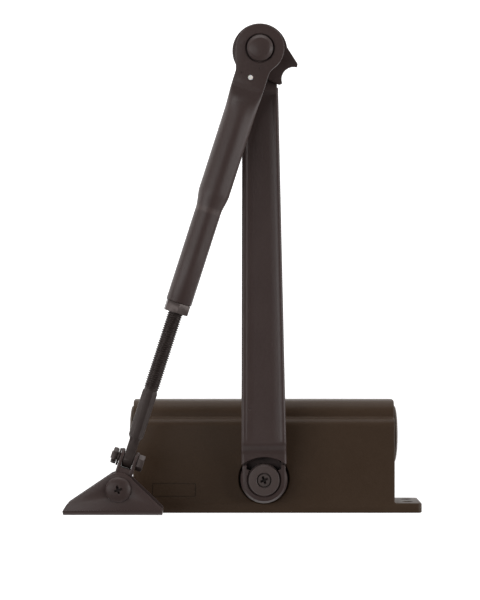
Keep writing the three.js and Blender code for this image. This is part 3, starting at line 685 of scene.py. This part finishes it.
def makeMainArm(look):
    low, high = span("main_arm")
    eyeTop, hubLow = high.z, low.z
    top, bottom, lip, last = look["top"], look["bottom"], look["lipTop"], look["straightEnd"]
    straight = 24.5                 # where the rise out of the hub has ended
    rise = [
        (9.5, lip, 27.5, 0), (14.5, lip, 27.5, 0), (16.4, lip + 0.15, 27.8, 0), (17.4, lip + 0.9, 28.4, 0),
        (19.2, lip + 2.9, 30.2, 0), (20.2, top - 0.35, 31.2, 0), (21.2, top, 32, 0.1),
        (22.6, top, 32.6, 0.35), (straight, top, bottom, look["sunk"]),
    ]
    for step in range(1, 21):
        rise.append((straight + (last - 6 - straight) * step / 20, top, bottom, look["sunk"]))
    rise += [(last - 4.6, top, bottom, 0.3), (last - 3.2, top + 0.2, bottom, 0.1),
             (last - 1.2, top + 1.2, bottom, 0)]
    channel = loft("mainArm", [armRing(*section, look) for section in rise])
    inside, outside = look["lipRadius"] - 0.35, look["lipRadius"]
    fade = lathe("lipArc", [(0, bottom), (inside, bottom), (inside, lip - 0.5), (outside, lip),
                            (outside + 1.2, 45), (0, 45)], 160)
    channel = cut(channel, move(fade, look["lipCentre"]))

    hub = look["hub"]
    boss = lathe("armHub", [
        (0, hubLow), (hub - 0.7, hubLow), (hub, hubLow + 0.7), (hub, 29.6), (13.1, 30.2), (12.6, 30.8),
        (12.1, 31.5), (11.8, 32.6), (11.3, 33.2), (10.4, 33.4), (0, 33.4),
    ], 96)
    outline = [(0, -12.1, 0)] + [(x, y, 0) for x, y in arc(0, 0, 12.1, -90, -270, 24)[1:-1]]
    outline += [(0, 12.1, 0), (9.2, 12.1, 1.5), (8.4, 8.9, 0.6)]
    outline += [(x, y, 0) for x, y in arc(-16.7, 0, 24.7, 17.5, -17.5, 16)]
    outline += [(8.4, -8.9, 0.6), (9.2, -12.1, 1.5)]
    shoulder = bevel(prism("hubShoulder", rounded(outline, 0), 29, 33.9), 0.5, 3, 40)
    cheeks = []
    for side in (-1, 1):
        cheek = [(4, side * 9.7), (22, side * 9.9), (22, side * 12.2), (4, side * 12.3)]
        cheeks.append(prism("hubCheek", cheek[::side], 27.6, 31.5))

    neck = prism("eyeNeck", [(last - 7, 40.2), (last - 2.5, eyeTop), (230, eyeTop), (230, 41.3),
                             (last - 3, 40.2)], -9.45, 9.45)
    outline = [(226, -9.5)] + arc(armLength, 0, look["eye"], -110, 110, 40) + [(226, 9.5)]
    eye = bevel(prism("armEye", outline, 41, eyeTop), 0.45, 3, 40)
    arm = join(channel, boss, shoulder, *cheeks, bevel(turn(neck, 90, "X"), 0.3, 2, 40), eye)

    half, hole = look["square"], look["studHole"]
    square = prism("armSquare", rectangle(-half, half, -half, half, 0.5, 3), hubLow - 1, 34)
    seat = lathe("washerSeat", [(0, 33), (9.2, 33), (9.6, 33.3), (10.4, 36), (0, 36)], 72)
    studHole = move(lathe("studHole", [(0, 38), (hole, 38), (hole, 46), (0, 46)], 40), armLength)
    dent = move(lathe("armDent", [(0, 41.15), (0.7, 41.25), (1.3, 41.8), (0, 42)], 20), 40.5, 7.6)
    pocket = arc(look["lipCentre"], 0, look["lipRadius"] - 0.4, -28, 28, 24) + [(9.9, 9.8), (6.2, 9.8)]
    pocket += arc(0, 0, 9.1, 55, -55, 24) + [(6.2, -9.8), (9.9, -9.8)]
    arm = cut(arm, square, seat, studHole, dent, prism("lipPocket", pocket, 26.2, 40))
    return dress(onArm(arm), "main_arm", armPaint, "main_arm")


def makeArmWasher():
    washer = lathe("armWasher", [
        (2.6, 33.3), (8.2, 33.3), (8.6, 33.6), (8.6, 35.0), (8.3, 35.35), (7.9, 35.4), (4.5, 35.4),
        (4.2, 35.15), (4.1, 33.9), (2.6, 33.9),
    ], 96)
    return dress(atPinion(washer), "main_arm", washerPaint, "arm_washer")


def makeArmScrew():
    screw = lathe("armScrew", [(0, 22), (1.9, 22), (2.2, 22.4), (2.2, 33.95), (3.55, 33.95),
                               (3.7, 34.1), (3.7, 34.5), (3.4, 34.8), (0, 34.85)], 48)
    screw = cut(screw, crossRecess("armScrewCross", 2.6, 0.7, 32.2, 35.1, 22))
    return dress(atPinion(screw), "main_arm", screwSteel, "arm_screw")


# the elbow

def makeElbowStud():
    stud = lathe("elbowStud", [
        (0, 37.4), (5.9, 37.4), (6.4, 37.9), (6.4, 40.2), (6, 40.6), (4, 40.6), (4, 47.4), (4.9, 47.4),
        (4.9, 62.8), (7.0, 62.8), (7.2, 63.0), (7.2, 65.4), (7.05, 65.7), (5.5, 66.85), (5.2, 67), (0, 67),
    ], 96)
    return dress(atElbow(stud), "main_arm", armPaint, "elbow_stud")


def makeElbowSpacer():
    low, high = span("elbow_spacer")
    spacer = lathe("elbowSpacer", [
        (5.2, low.z + 0.4), (5.6, low.z), (7.5, low.z), (8, low.z + 0.5), (8, low.z + 2.4),
        (7.5, low.z + 2.9), (7.5, high.z - 2.9), (8, high.z - 2.4), (8, high.z - 0.5), (7.5, high.z),
        (5.6, high.z), (5.2, high.z - 0.4),
    ], 72)
    return dress(atElbow(spacer), "main_arm", darkSteel, "elbow_spacer")


def makeHoldOpenDisc():
    low, high = span("hold_open_disc")
    corners = [(x, y, 0) for x, y in arc(0, 0, 15.4, -172.3, 101, 60)]
    corners += [(-10.9, 19.1, 0.9)] + [(x, y, 0) for x, y in arc(-19, 15.8, 6.8, 21, -106, 18)]
    corners += [(-21.2, 7.3, 0.7)]
    disc = bevel(prism("holdOpenDisc", rounded(corners, 0), low.z, high.z), 0.35, 3, 40)
    hole = lathe("discHole", [(0, 40), (4.3, 40), (4.3, 50), (0, 50)], 40)
    return dress(atElbow(cut(disc, hole)), "hold_open_disc", armPaint, "hold_open_disc")


# the forearm

forearmLook = {"head": 13.4, "neck": 9.1, "neckFillet": 8, "tube": 8.75, "swaged": 7.3, "swage": (83, 94),
               "end": 148, "headLow": 60, "headTop": 64, "pinAt": 17.2, "dents": ((10.6, 3.2), (15.8, -5.6))}


def tubeRing(x, half, low, high, power, bow=0.0, sides=64):
    ring = []
    for side in range(sides):
        angle = 2 * math.pi * (side + 0.5) / sides
        across, up = math.cos(angle), math.sin(angle)
        y = half * math.copysign(abs(across) ** (2 / power), across)
        z = (low + high) / 2 + (high - low) / 2 * math.copysign(abs(up) ** (2 / power), up)
        ring.append((x + bow * (1 - (y / half) ** 2), y, z))
    return ring


def makeForearmTube(look):
    low, top, neck = look["headLow"], look["headTop"], look["neck"]
    radius, swaged = look["tube"], look["swaged"]
    start, stop = look["swage"]
    full = 38.5                     # where the tube is fully round
    sections = [
        (20, neck, low, top, 9, 0), (23.4, neck, low - 0.2, top, 9, 0.7),
        (24.4, neck, low - 1.2, top - 0.35, 7, 0.7), (26.0, neck, low - 3.4, top - 1.55, 5, 0.7),
        (27.6, 9.05, 53.6, 61.9, 3.8, 0.6), (29.5, 9, 50.2, 61.5, 3, 0.4), (32, 8.9, 47.2, 61.5, 2.5, 0.2),
        (35, 8.8, 45.2, 61.65, 2.15, 0), (full, radius, 44.25, 61.75, 2, 0),
    ]
    rings = [tubeRing(*section) for section in sections]
    for step in range(1, 9):
        x = full + (start - full) * step / 8
        rings.append(tubeRing(x, radius, rodZ - radius, rodZ + radius, 2))
    for step in range(1, 11):       # the swaged step down
        share = step / 10
        size = radius + (swaged - radius) * (3 * share ** 2 - 2 * share ** 3)
        rings.append(tubeRing(start + (stop - start) * share, size, rodZ - size, rodZ + size, 2))
    for x, size in ((120, swaged), (look["end"] - 0.3, swaged), (look["end"] - 0.1, swaged - 0.1),
                    (look["end"], swaged - 0.3)):
        rings.append(tubeRing(x, size, rodZ - size, rodZ + size, 2))
    tube = loft("forearmTube", rings)

    # the flattened head: a tangent edge on one side and a hollow fillet on the other
    fillet = look["neckFillet"]
    filletX = math.sqrt((look["head"] + fillet) ** 2 - (neck + fillet) ** 2)
    meet = math.degrees(math.atan2(neck + fillet, filletX))
    outline = [(22, neck)] + arc(filletX, neck + fillet, fillet, -90, meet - 180, 8)[:-1]
    outline += arc(0, 0, look["head"], meet, 360 - forearmAngle, 60) + [(15.6, -neck), (22, -neck)]
    head = bevel(prism("forearmHead", outline, low, top), 0.4, 3, 40)
    tube = join(tube, head)

    hollow = alongX(lathe("tubeBore", [
        (0, 36), (6.9, 40), (6.9, 95), (4.4, 112), (4.4, look["end"] - 0.6), (5.0, look["end"]), (5.2, 150),
        (0, 150),
    ], 48))
    seat = lathe("studSeat", [
        (0, 55), (5.2, 55), (5.2, 62.5), (7.95, 62.5), (7.95, top - 0.3), (8.4, top + 0.1), (8.4, 70),
        (0, 70),
    ], 96)
    pinHole = lathe("pinHole", [(0, 50), (1.45, 50), (1.45, top - 0.1), (1.7, 65), (0, 65)], 32)
    pinHole = move(pinHole, look["pinAt"])
    dents = []
    for x, y in look["dents"]:
        dent = lathe("headDent", [(0, top - 0.3), (0.45, top - 0.2), (0.7, top + 0.5), (0, top + 0.5)], 16)
        dents.append(move(dent, x, y))
    tube = onForearm(cut(tube, move(hollow, z=rodZ), seat, pinHole, *dents))
    return dress(tube, "forearm", armPaint, "forearm_tube")


def makeHoldOpenPin(look):
    low, high = span("hold_open_pin")
    pin = lathe("holdOpenPin", [(0, low.z), (1.2, low.z), (1.35, low.z + 0.4), (1.35, high.z - 0.25),
                                (1.2, high.z - 0.06), (0.8, high.z), (0, high.z)], 40)
    return dress(onForearm(move(pin, look["pinAt"])), "forearm", whiteNylon, "hold_open_pin")


def makeJamNut():
    nut = turn(alongX(hexNut("jamNut", 13, 148.05, 153.9, 4.3, 0.45)), -8, "X")
    return dress(onRod(nut), "jam_nut", nutSteel, "jam_nut")


rodLook = {"thread": (114.5, 198.8), "root": 3.7, "crest": 4.4, "pitch": 1.25, "shank": 4.2, "shankEnd": 226,
           "boltAt": 239.7, "tongue": 2.8, "eye": 4.7, "sides": 32}


def makeThreadedRod(look):
    start, end = look["thread"]
    sides, shank = look["sides"], look["shank"]
    rings = threadRings(look["root"], look["crest"], look["pitch"], start, end, sides)

    def forged(x, across, up, corner):
        # a forged octagon with soft corners
        ring = []
        for side in range(sides):
            angle = 2 * math.pi * side / sides
            fold = (angle + math.pi / 8) % (math.pi / 4) - math.pi / 8
            radius = min(1 / math.cos(fold), corner)
            ring.append((across * radius * math.cos(angle), up * radius * math.sin(angle), x))
        return ring

    rings += [forged(end + 0.4, 3.7, 3.7, 1), forged(end + 0.9, shank * 0.98, shank * 0.98, 1.04)]
    last = look["shankEnd"]
    for step in range(7):
        rings.append(forged(end + 2 + (last - end - 3) * step / 6, shank, shank, 1.06))
    rings += [forged(last, shank * 0.98, shank * 0.98, 1.06), forged(last + 1.2, 3.4, 3.9, 1.06),
              forged(last + 2.4, 2.6, 3.9, 1.06), forged(last + 4, 2.1, 3.6, 1.04)]
    # made along Z with its width along X, then laid along the forearm
    rod = turn(turn(loft("threadedRod", rings), 90, "Z"), 90, "Y")
    eye, bolt = look["eye"], look["boltAt"]
    outline = [(last + 1, -3.5), (last + 5, -3.9)] + arc(bolt, 0, eye, -108, 108, 30)
    outline += [(last + 5, 3.9), (last + 1, 3.5)]
    tongue = turn(prism("rodTongue", outline, -look["tongue"], look["tongue"]), 90, "X")
    rod = join(rod, bevel(tongue, 0.4, 3, 40))
    hole = alongMinusY(lathe("rodHole", [(0, -4), (4, -4), (2.8, -1.9), (2.8, 1.9), (4, 4), (0, 4)], 32))
    rod = onRod(cut(rod, move(hole, bolt)))
    return dress(rod, "threaded_rod", rodSteel, "threaded_rod", 28)


# the swivel

yokeLook = {"boltAt": 239.7, "ear": 5.4, "inner": 3.0, "outer": 4.8, "base": 244.6, "half": 8}


def makeYoke(look):
    bolt, ear, inner, outer, base = (look[key] for key in ("boltAt", "ear", "inner", "outer", "base"))
    top = bolt - ear
    strap = rounded([(top, inner + 0.4, 0.4), (top + 2, inner, 3), (base, inner, 0.6), (base, -inner, 0.6),
                     (top + 2, -inner, 3), (top, -inner - 0.4, 0.4), (top, -outer - 0.4, 0.4),
                     (top + 2, -outer, 3), (swivelAt - 1, -outer, 1), (swivelAt - 1, outer, 1),
                     (top + 2, outer, 3), (top, outer + 0.4, 0.4)], 0, 5)
    yoke = prism("yokeFork", strap, -10, 10)
    side = arc(bolt, 0, ear, 90, 270, 30) + [(swivelAt + 2, -ear), (swivelAt + 2, ear)]
    yoke = bevel(common(yoke, turn(prism("yokeSide", side, -12, 12), 90, "X")), 0.3, 2, 40)
    half = look["half"]
    barrel = lathe("yokeBarrel", [(0, -half), (5.8, -half), (6.4, 0.5 - half), (6.4, half - 0.5), (5.8, half),
                                  (0, half)], 64)
    yoke = join(yoke, move(barrel, swivelAt))
    boltHole = alongMinusY(lathe("yokeBoltHole", [(0, -9), (2.8, -9), (2.8, 9), (0, 9)], 32))
    screwHole = lathe("yokeScrewHole", [
        (0, -10), (4.2, -10), (3.3, -7.4), (3.3, 7.4), (4.2, 10), (0, 10),
    ], 40)
    yoke = cut(yoke, move(boltHole, bolt), move(screwHole, swivelAt))
    return dress(onRod(yoke), "yoke", armPaint, "yoke")


def makeYokeBolt(look):
    head = hexNut("yokeBolt", 8, -8.8, -5.1, 0, 0.7)
    stem = loft("boltStem", [rim(2.45, -5.5), rim(2.45, 1.7)] + threadRings(2.1, 2.48, 0.8, 2, 9.9, 24))
    bolt = onRod(alongMinusY(join(head, stem)), look["boltAt"])
    return dress(bolt, "yoke", nutSteel, "yoke_bolt")


def makeYokeWasher(look):
    washer = lathe("yokeWasher", [(2.8, 5.1), (4.8, 5.1), (5, 5.3), (5, 5.9), (4.8, 6.1), (2.8, 6.1)], 48)
    washer = onRod(alongMinusY(washer), look["boltAt"])
    return dress(washer, "yoke", darkSteel, "yoke_washer")


def makeYokeNut(look):
    nut = onRod(alongMinusY(hexNut("yokeNut", 8, 6.4, 9.3, 2.7, 0.7)), look["boltAt"])
    return dress(nut, "yoke", darkSteel, "yoke_nut")


# the frame bracket

bracketLook = {"sheet": 2.2, "bend": 3.2, "apex": 9.4, "left": -24.3, "right": 31, "holes": (-15, 21)}


def makeBracket(look):
    low, high = span("bracket")
    face = high.y - swivel.y
    sheet, bend = look["sheet"], look["bend"]
    # a channel folded from one sheet, seen from its end, then trimmed to the triangle
    outer = arc(face - bend, high.z - bend, bend, 90, 0, 8)
    inner = arc(face - bend, high.z - bend, bend - sheet, 0, 90, 6)
    half = [(-14, high.z)] + outer
    back = inner + [(-14, high.z - sheet)]
    middle = (low.z + high.z) / 2
    profile = half + [(y, 2 * middle - z) for y, z in reversed(half)]
    profile += [(y, 2 * middle - z) for y, z in reversed(back)] + back
    channel = turn(turn(prism("frameBracket", profile, -40, 40), 90, "X"), 90, "Z")
    right, left = look["right"], look["left"]
    plan = rounded([(x, y, 0) for x, y in arc(0, 0, look["apex"], 217, 298, 24)] +
                   [(28.5, 7.9, 3), (right, 12, 1), (right - 0.6, face + 1, 0), (left, face + 1, 0),
                    (left, 10.5, 1.2)], 0, 5)
    bracket = common(channel, prism("bracketPlan", plan, low.z - 5, high.z + 5))
    holes = [lathe("pivotHole", [(0, 40), (3.3, 40), (3.3, 70), (0, 70)], 40)]
    for x in look["holes"]:
        hole = alongMinusY(lathe("frameHole", [(0, -face - 1), (2.6, -face - 1), (2.6, 1 - face + sheet),
                                               (0, 1 - face + sheet)], 32))
        holes.append(move(hole, x, 0, middle))
    bracket = bevel(cut(bracket, *holes), 0.3, 2, 40)
    return dress(atSwivel(bracket), "bracket", armPaint, "bracket")


def makePivotScrew():
    low, high = span("pivot_screw")
    top = high.z
    stem = threadRings(2.55, 2.88, 1.0, low.z, top - 6, 24)
    stem += [rim(2.88, top - 5.8), rim(2.88, top - 2.6)]
    head = lathe("pivotScrew", [
        (0, top - 2.9), (6.8, top - 2.9), (7.1, top - 2.7), (7.1, top - 2.3), (6.85, top - 1.7),
        (6.2, top - 1.05), (5.1, top - 0.5), (3.6, top - 0.15), (1.8, top - 0.02), (0, top),
    ], 96)
    head = cut(head, crossRecess("pivotCross", 3.1, 0.7, top - 1.8, top + 0.4, 15))
    screw = join(head, loft("pivotStem", stem))
    return dress(atSwivel(screw), "bracket", panHeadPaint, "pivot_screw", 40)


def makePivotNut():
    low, high = span("pivot_nut")
    nut = hexNut("pivotNut", 9, low.z, high.z, 3.2)
    return dress(atSwivel(nut), "bracket", darkSteel, "pivot_nut")


# inside the body

innerLook = {
    "teeth": 12, "pitch": 11.5, "tip": 13.2, "root": 9.3, "gearHalf": 8, "backlash": 0.5, "pressure": 20,
    "journal": 7, "journalEnd": 20.25, "square": 4.6, "squareLow": -28.6, "squareTop": 32.6,
    "piston": 15.2, "pistonStart": -10, "pistonEnd": 47, "rackTip": -29.7, "rackRoot": -33.1,
    "springStart": -64.5, "springKeep": 0.477, "outerSpring": (12.6, 1.9, 5.5), "innerSpring": (8.5, 1.3, 8),
}


def gather(piece, *others):
    # several closed solids in one piece
    work = bmesh.new()
    for part in (piece, *others):
        work.from_mesh(part.data)
    for part in others:
        bpy.data.objects.remove(part)
    work.to_mesh(piece.data)
    work.free()
    return piece


def gearOutline(look):
    # involute flanks, radial below the base circle
    pressure = math.radians(look["pressure"])
    base = look["pitch"] * math.cos(pressure)
    atPitch = (math.pi * look["pitch"] / look["teeth"] - look["backlash"]) / 2 / look["pitch"]

    def halfAngle(radius):
        slant = math.acos(min(1, base / radius))
        return atPitch + math.tan(pressure) - pressure - math.tan(slant) + slant

    radii = [look["root"], base] + [base + (look["tip"] - base) * step / 5 for step in range(1, 6)]
    outline = []
    for tooth in range(look["teeth"]):
        middle = tooth * 2 * math.pi / look["teeth"] - math.pi / 2
        for side, flank in ((-1, radii), (1, radii[::-1])):
            angles = [(radius, middle + side * halfAngle(radius)) for radius in flank]
            outline += [(radius * math.cos(angle), radius * math.sin(angle)) for radius, angle in angles]
    return outline


def makePinionShaft(look):
    half, journal, end, square = look["gearHalf"], look["journal"], look["journalEnd"], look["square"]
    gear = bevel(prism("pinionShaft", gearOutline(look), -half, half), 0.3, 2, 50)
    stem = lathe("pinionStem", [
        (0, -end), (journal - 0.4, -end), (journal, 0.4 - end), (journal, -half - 1.2),
        (journal + 0.7, -half - 0.4), (journal + 0.7, half + 0.4), (journal, half + 1.2),
        (journal, end - 0.4), (journal - 0.4, end), (0, end),
    ], 64)
    outline = rectangle(-square, square, -square, square, 0.9, 3)
    ends = bevel(prism("pinionSquare", outline, look["squareLow"], look["squareTop"]), 0.3, 2, 50)
    tap = lathe("pinionTap", [(0, 20), (2.3, 21.4), (2.3, 32.2), (2.9, 32.8), (2.9, 34), (0, 34)], 32)
    shaft = atPinion(cut(join(gear, stem, ends), tap))
    return dress(shaft, "main_arm", brightSteel, "pinion_shaft", 30)


def makeBearing(name, node):
    # a drawn cup round its needles
    low, high = span(node)
    cup = lathe(name, [
        (10.9, low.z + 0.4), (10.9, high.z - 0.4), (10.5, high.z), (8.1, high.z), (8.1, high.z - 0.5),
        (10.1, high.z - 0.6), (10.1, low.z + 0.6), (8.1, low.z + 0.5), (8.1, low.z), (10.5, low.z),
    ], 72)
    needles = []
    for step in range(22):
        needle = lathe("needle", [
            (0, low.z + 0.7), (1, low.z + 0.8), (1.25, low.z + 1.1), (1.25, high.z - 1.1), (1, high.z - 0.8),
            (0, high.z - 0.7),
        ], 14)
        needles.append(turn(move(needle, 8.6), step * 360 / 22))
    return dress(atPinion(gather(cup, *needles)), "closer_body", brightSteel, node)


def makeShaftSeal(name, node, outer, side):
    # its lip leans on the journal and a garter spring's groove runs behind it
    low, high = span(node)
    ends = (low.z, high.z) if side > 0 else (high.z, low.z)
    share = [(outer, 0), (outer, 1), (outer - 0.9, 1), (7.9, 0.8), (7.3, 0.62), (7.35, 0.5), (7.8, 0.36),
             (8.1, 0.2), (8.1, 0)]
    seal = lathe(name, [(radius, ends[0] + (ends[1] - ends[0]) * up) for radius, up in share], 64)
    return dress(atPinion(seal), "closer_body", rubber, node)


def makePinionGland():
    top = span("pinion_gland")[1].z
    gland = lathe("pinionGland", [
        (11.2, 12), (13.4, 12), (13.8, 12.4), (13.8, 14), (13.5, 14.3), (13.8, 14.6), (13.8, 16),
        (13.5, 16.3), (13.8, 16.6), (13.8, top - 0.5), (13.3, top), (9.6, top), (9.2, top - 0.4), (9.2, 17.2),
        (11.2, 17.2),
    ], 72)
    for turnBy in range(0, 360, 90):
        hole = lathe("glandHole", [(0, top - 1.6), (1.1, top - 1.4), (1.1, top + 1), (0, top + 1)], 20)
        gland = cut(gland, turn(move(hole, 11.5), turnBy + 20))
    return dress(atPinion(gland), "closer_body", darkSteel, "pinion_gland")


def makeSpindleCap():
    cap = lathe("spindleCap", [
        (0, -29.2), (7.2, -29.2), (7.6, -28.8), (7.6, -20.6), (13.5, -20.6), (13.9, -20.9), (13.9, -21.9),
        (13.3, -22.4), (10.6, -22.4), (9.9, -23), (9.6, -29.6), (9.3, -30.2), (8.7, -30.6), (5.4, -30.6),
        (5, -30.3), (0, -30.3),
    ], 72)
    for turnBy in range(0, 360, 60):    # finger grooves
        groove = lathe("capGroove", [(0, -31), (0.8, -31), (0.8, -23.4), (0, -23.1)], 16)
        cap = cut(cap, turn(move(groove, 10), turnBy + 10))
    return dress(atPinion(cap), "closer_body", blackNylon, "spindle_cap")


def makePiston(look):
    radius, start, end = look["piston"], look["pistonStart"], look["pistonEnd"]
    pitch = 2 * math.pi * look["pitch"] / look["teeth"]
    slope = math.tan(math.radians(look["pressure"]))
    pitchLine = pinion.y - look["pitch"]
    barrel = lathe("pistonBarrel", [
        (0, start), (radius - 0.6, start), (radius, start + 0.6), (radius, 41.4), (13.6, 41.4), (13.6, 43.6),
        (radius, 43.6), (radius, end - 0.6), (radius - 0.6, end), (0, end),
    ], 72)
    hollow = lathe("pistonHollow", [
        (0, start - 1), (7.3, start - 1), (6.5, start + 0.6), (6.5, 38), (2.9, 38), (2.9, 43), (1.4, 44.2),
        (1.4, end + 1), (0, end + 1),
    ], 48)
    flat = rectangle(start - 1.3, 39.9, look["rackTip"], look["rackTip"] + 2.7, 0)
    tools = [prism("rackFlat", flat, -16.4, 16.6), inBore(turn(hollow, 2.3))]
    high, root = look["rackTip"] + 1.2, look["rackRoot"]
    wide = pitch / 4 + (high - pitchLine) * slope
    narrow = pitch / 4 + (root - pitchLine) * slope
    space = rounded([(-wide, high, 0), (-narrow, root, 0.45), (narrow, root, 0.45), (wide, high, 0)], 0, 4)
    for tooth in range(-1, 7):
        tools.append(move(prism("rackSpace", space, -17, 17), tooth * pitch))
    piston = cut(inBore(barrel), *tools)
    return dress(piston, "piston", brightSteel, "piston", 30)


def makePistonFittings():
    seal = lathe("pistonSeal", [(13.9, 41.9), (14.1, 41.7), (15.1, 41.7), (15.35, 42.1), (15.35, 42.9),
                                (15.1, 43.3), (14.1, 43.3), (13.9, 43.1)], 72)
    ball = lathe("checkBall", [(0, -2.3)] + arc(0, 0, 2.3, -80, 80, 16) + [(0, 2.3)], 32)
    retainer = lathe("checkRetainer", [(1.5, 36.7), (1.6, 36.6), (5.8, 36.6), (6.1, 36.8), (6.1, 37.5),
                                       (5.8, 37.7), (1.6, 37.7), (1.5, 37.6)], 48)
    for turnBy in range(0, 360, 90):    # oil passes through its slots
        slot = prism("retainerSlot", rectangle(2.6, 4.9, -0.8, 0.8, 0.4, 3), 36, 38)
        retainer = cut(retainer, turn(slot, turnBy))
    dress(inBore(seal), "piston", blackNylon, "piston_seal")
    dress(move(ball, 40.8, boreY), "piston", brightSteel, "check_ball")
    dress(inBore(retainer), "piston", brightSteel, "check_retainer")


def makeCapSeal(name, node, stand):
    seal = lathe(name, arc(14.45, 67.7, 0.75, 0, 340, 17), 72)
    return dress(inBore(seal, stand), "closer_body", rubber, node, 60)


def makeValve(name, node):
    # needle point, fine thread, O-ring groove and a hexagon socket
    rings = [rim(0.5, 53), rim(1, 53.1), rim(2.7, 60.6), rim(2.5, 61)]
    rings += threadRings(2.5, 2.88, 0.7, 61.2, 66.6, 24)
    rings += [rim(2.9, 66.7), rim(2.9, 67), rim(1.9, 67.05), rim(1.9, 68.95), rim(2.9, 69), rim(2.9, 72.6),
              rim(2.5, 73)]
    valve = cut(loft(name, rings), prism("valveSocket", hexagon(3), 70, 74))
    at = middleOf(node)
    return dress(move(alongX(valve), 0, at.y, at.z), node, brass, node, 30)


def makeValveSeal(name, node, valve):
    at = middleOf(node)
    seal = lathe(name, arc(2.55, 68, 0.4, 0, 330, 11), 32)
    return dress(move(alongX(seal), 0, at.y, at.z), valve, rubber, node, 60)


def makeSpring(name, node, look, shape):
    # coiled round the bore's axis from one seat to the other, its wire thinner at both ends
    radius, wire, turns = shape
    start, end = look["springStart"] + wire + 0.3, look["pistonStart"] - wire - 0.3
    steps, around = round(turns * 40), 14
    rings = []
    for step in range(steps + 1):
        share = step / steps
        angle = 2 * math.pi * turns * share
        outward = Vector((0, math.cos(angle), math.sin(angle)))
        centre = outward * radius + Vector((start + (end - start) * share, boreY, 0))
        rise = (end - start) / (2 * math.pi * turns)
        along = Vector((rise, -radius * math.sin(angle), radius * math.cos(angle))).normalized()
        side = along.cross(outward)
        thin = wire * min(1, 0.8 + min(step, steps - step) * 0.05)
        rings.append([centre + outward * x + side * y for x, y, _ in rim(thin, 0, around)])
    spring = dress(loft(name, rings), "closer_body", springSteel, node, 60)
    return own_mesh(spring)


# building

setUpStudio(studio)
bodyPaint = paintFinish("bodyPaint", bodyPaintLook)
armPaint = paintFinish("armPaint", armPaintLook)
washerPaint = paintFinish("washerPaint", washerPaintLook)
darkSteel = metalFinish("darkSteel", darkSteelLook)
rodSteel = metalFinish("rodSteel", darkSteelLook)
nutSteel = metalFinish("nutSteel", nutLook)
screwSteel = metalFinish("screwSteel", screwLook)
panHeadPaint = paintFinish("panHeadPaint", panHeadLook)
brightSteel = metalFinish("brightSteel", brightSteelLook)
springSteel = metalFinish("springSteel", springSteelLook)
brass = metalFinish("brass", brassLook)
rubber = mouldedFinish("rubber", rubberLook)
whiteNylon = mouldedFinish("whiteNylon", whiteNylonLook)
blackNylon = mouldedFinish("blackNylon", blackNylonLook)
print("finishes ready")

makeHousing(bodyLook)
print("housing ready")
makeEndCap("valveEndCap", "valve_end_cap", alongX, 0)
makeEndCap("springEndCap", "spring_end_cap", alongMinusX, 7)
makeMainArm(armLook)
makeArmWasher()
makeArmScrew()
print("main arm ready")
makeElbowStud()
makeElbowSpacer()
makeHoldOpenDisc()
makeForearmTube(forearmLook)
makeHoldOpenPin(forearmLook)
makeJamNut()
makeThreadedRod(rodLook)
print("forearm ready")
makeYoke(yokeLook)
makeYokeBolt(yokeLook)
makeYokeWasher(yokeLook)
makeYokeNut(yokeLook)
makeBracket(bracketLook)
makePivotScrew()
makePivotNut()
print("bracket ready")
makePinionShaft(innerLook)
makeBearing("upperBearing", "upper_bearing")
makeBearing("lowerBearing", "lower_bearing")
makeShaftSeal("upperShaftSeal", "upper_shaft_seal", 8.9, 1)
makeShaftSeal("lowerShaftSeal", "lower_shaft_seal", 9.3, -1)
makePinionGland()
makeSpindleCap()
makePiston(innerLook)
makePistonFittings()
makeCapSeal("valveEndSeal", "valve_end_seal", alongX)
makeCapSeal("springEndSeal", "spring_end_seal", alongMinusX)
makeValve("closingValve", "closing_valve")
makeValve("latchValve", "latch_valve")
makeValveSeal("closingValveSeal", "closing_valve_seal", "closing_valve")
makeValveSeal("latchValveSeal", "latch_valve_seal", "latch_valve")
makeSpring("outerSpring", "outer_spring", innerLook, innerLook["outerSpring"])
makeSpring("innerSpring", "inner_spring", innerLook, innerLook["innerSpring"])
print("inside ready")

reach = studio["floorReach"]
floorPiece = solid("floor", [(-reach, -reach, 0), (reach, -reach, 0), (reach, reach, 0), (-reach, reach, 0)],
                   [(0, 1, 2, 3)])
floorPiece.location.z = cadBox[0].z
floorFinish = Finish("paleFloor", {"Specular IOR Level": 0.1, "Roughness": 0.9,
                                   "Emission Color": (1, 1, 1, 1), "Emission Strength": studio["floorGlow"]})
floorTone = floorFinish.blend(floorFinish.noise(3), (0.86, 0.86, 0.86, 1), (0.92, 0.92, 0.92, 1))
floorFinish.feed("Base Color", floorTone)
floorPiece.data.materials.append(floorFinish.material)

print("scene ready")
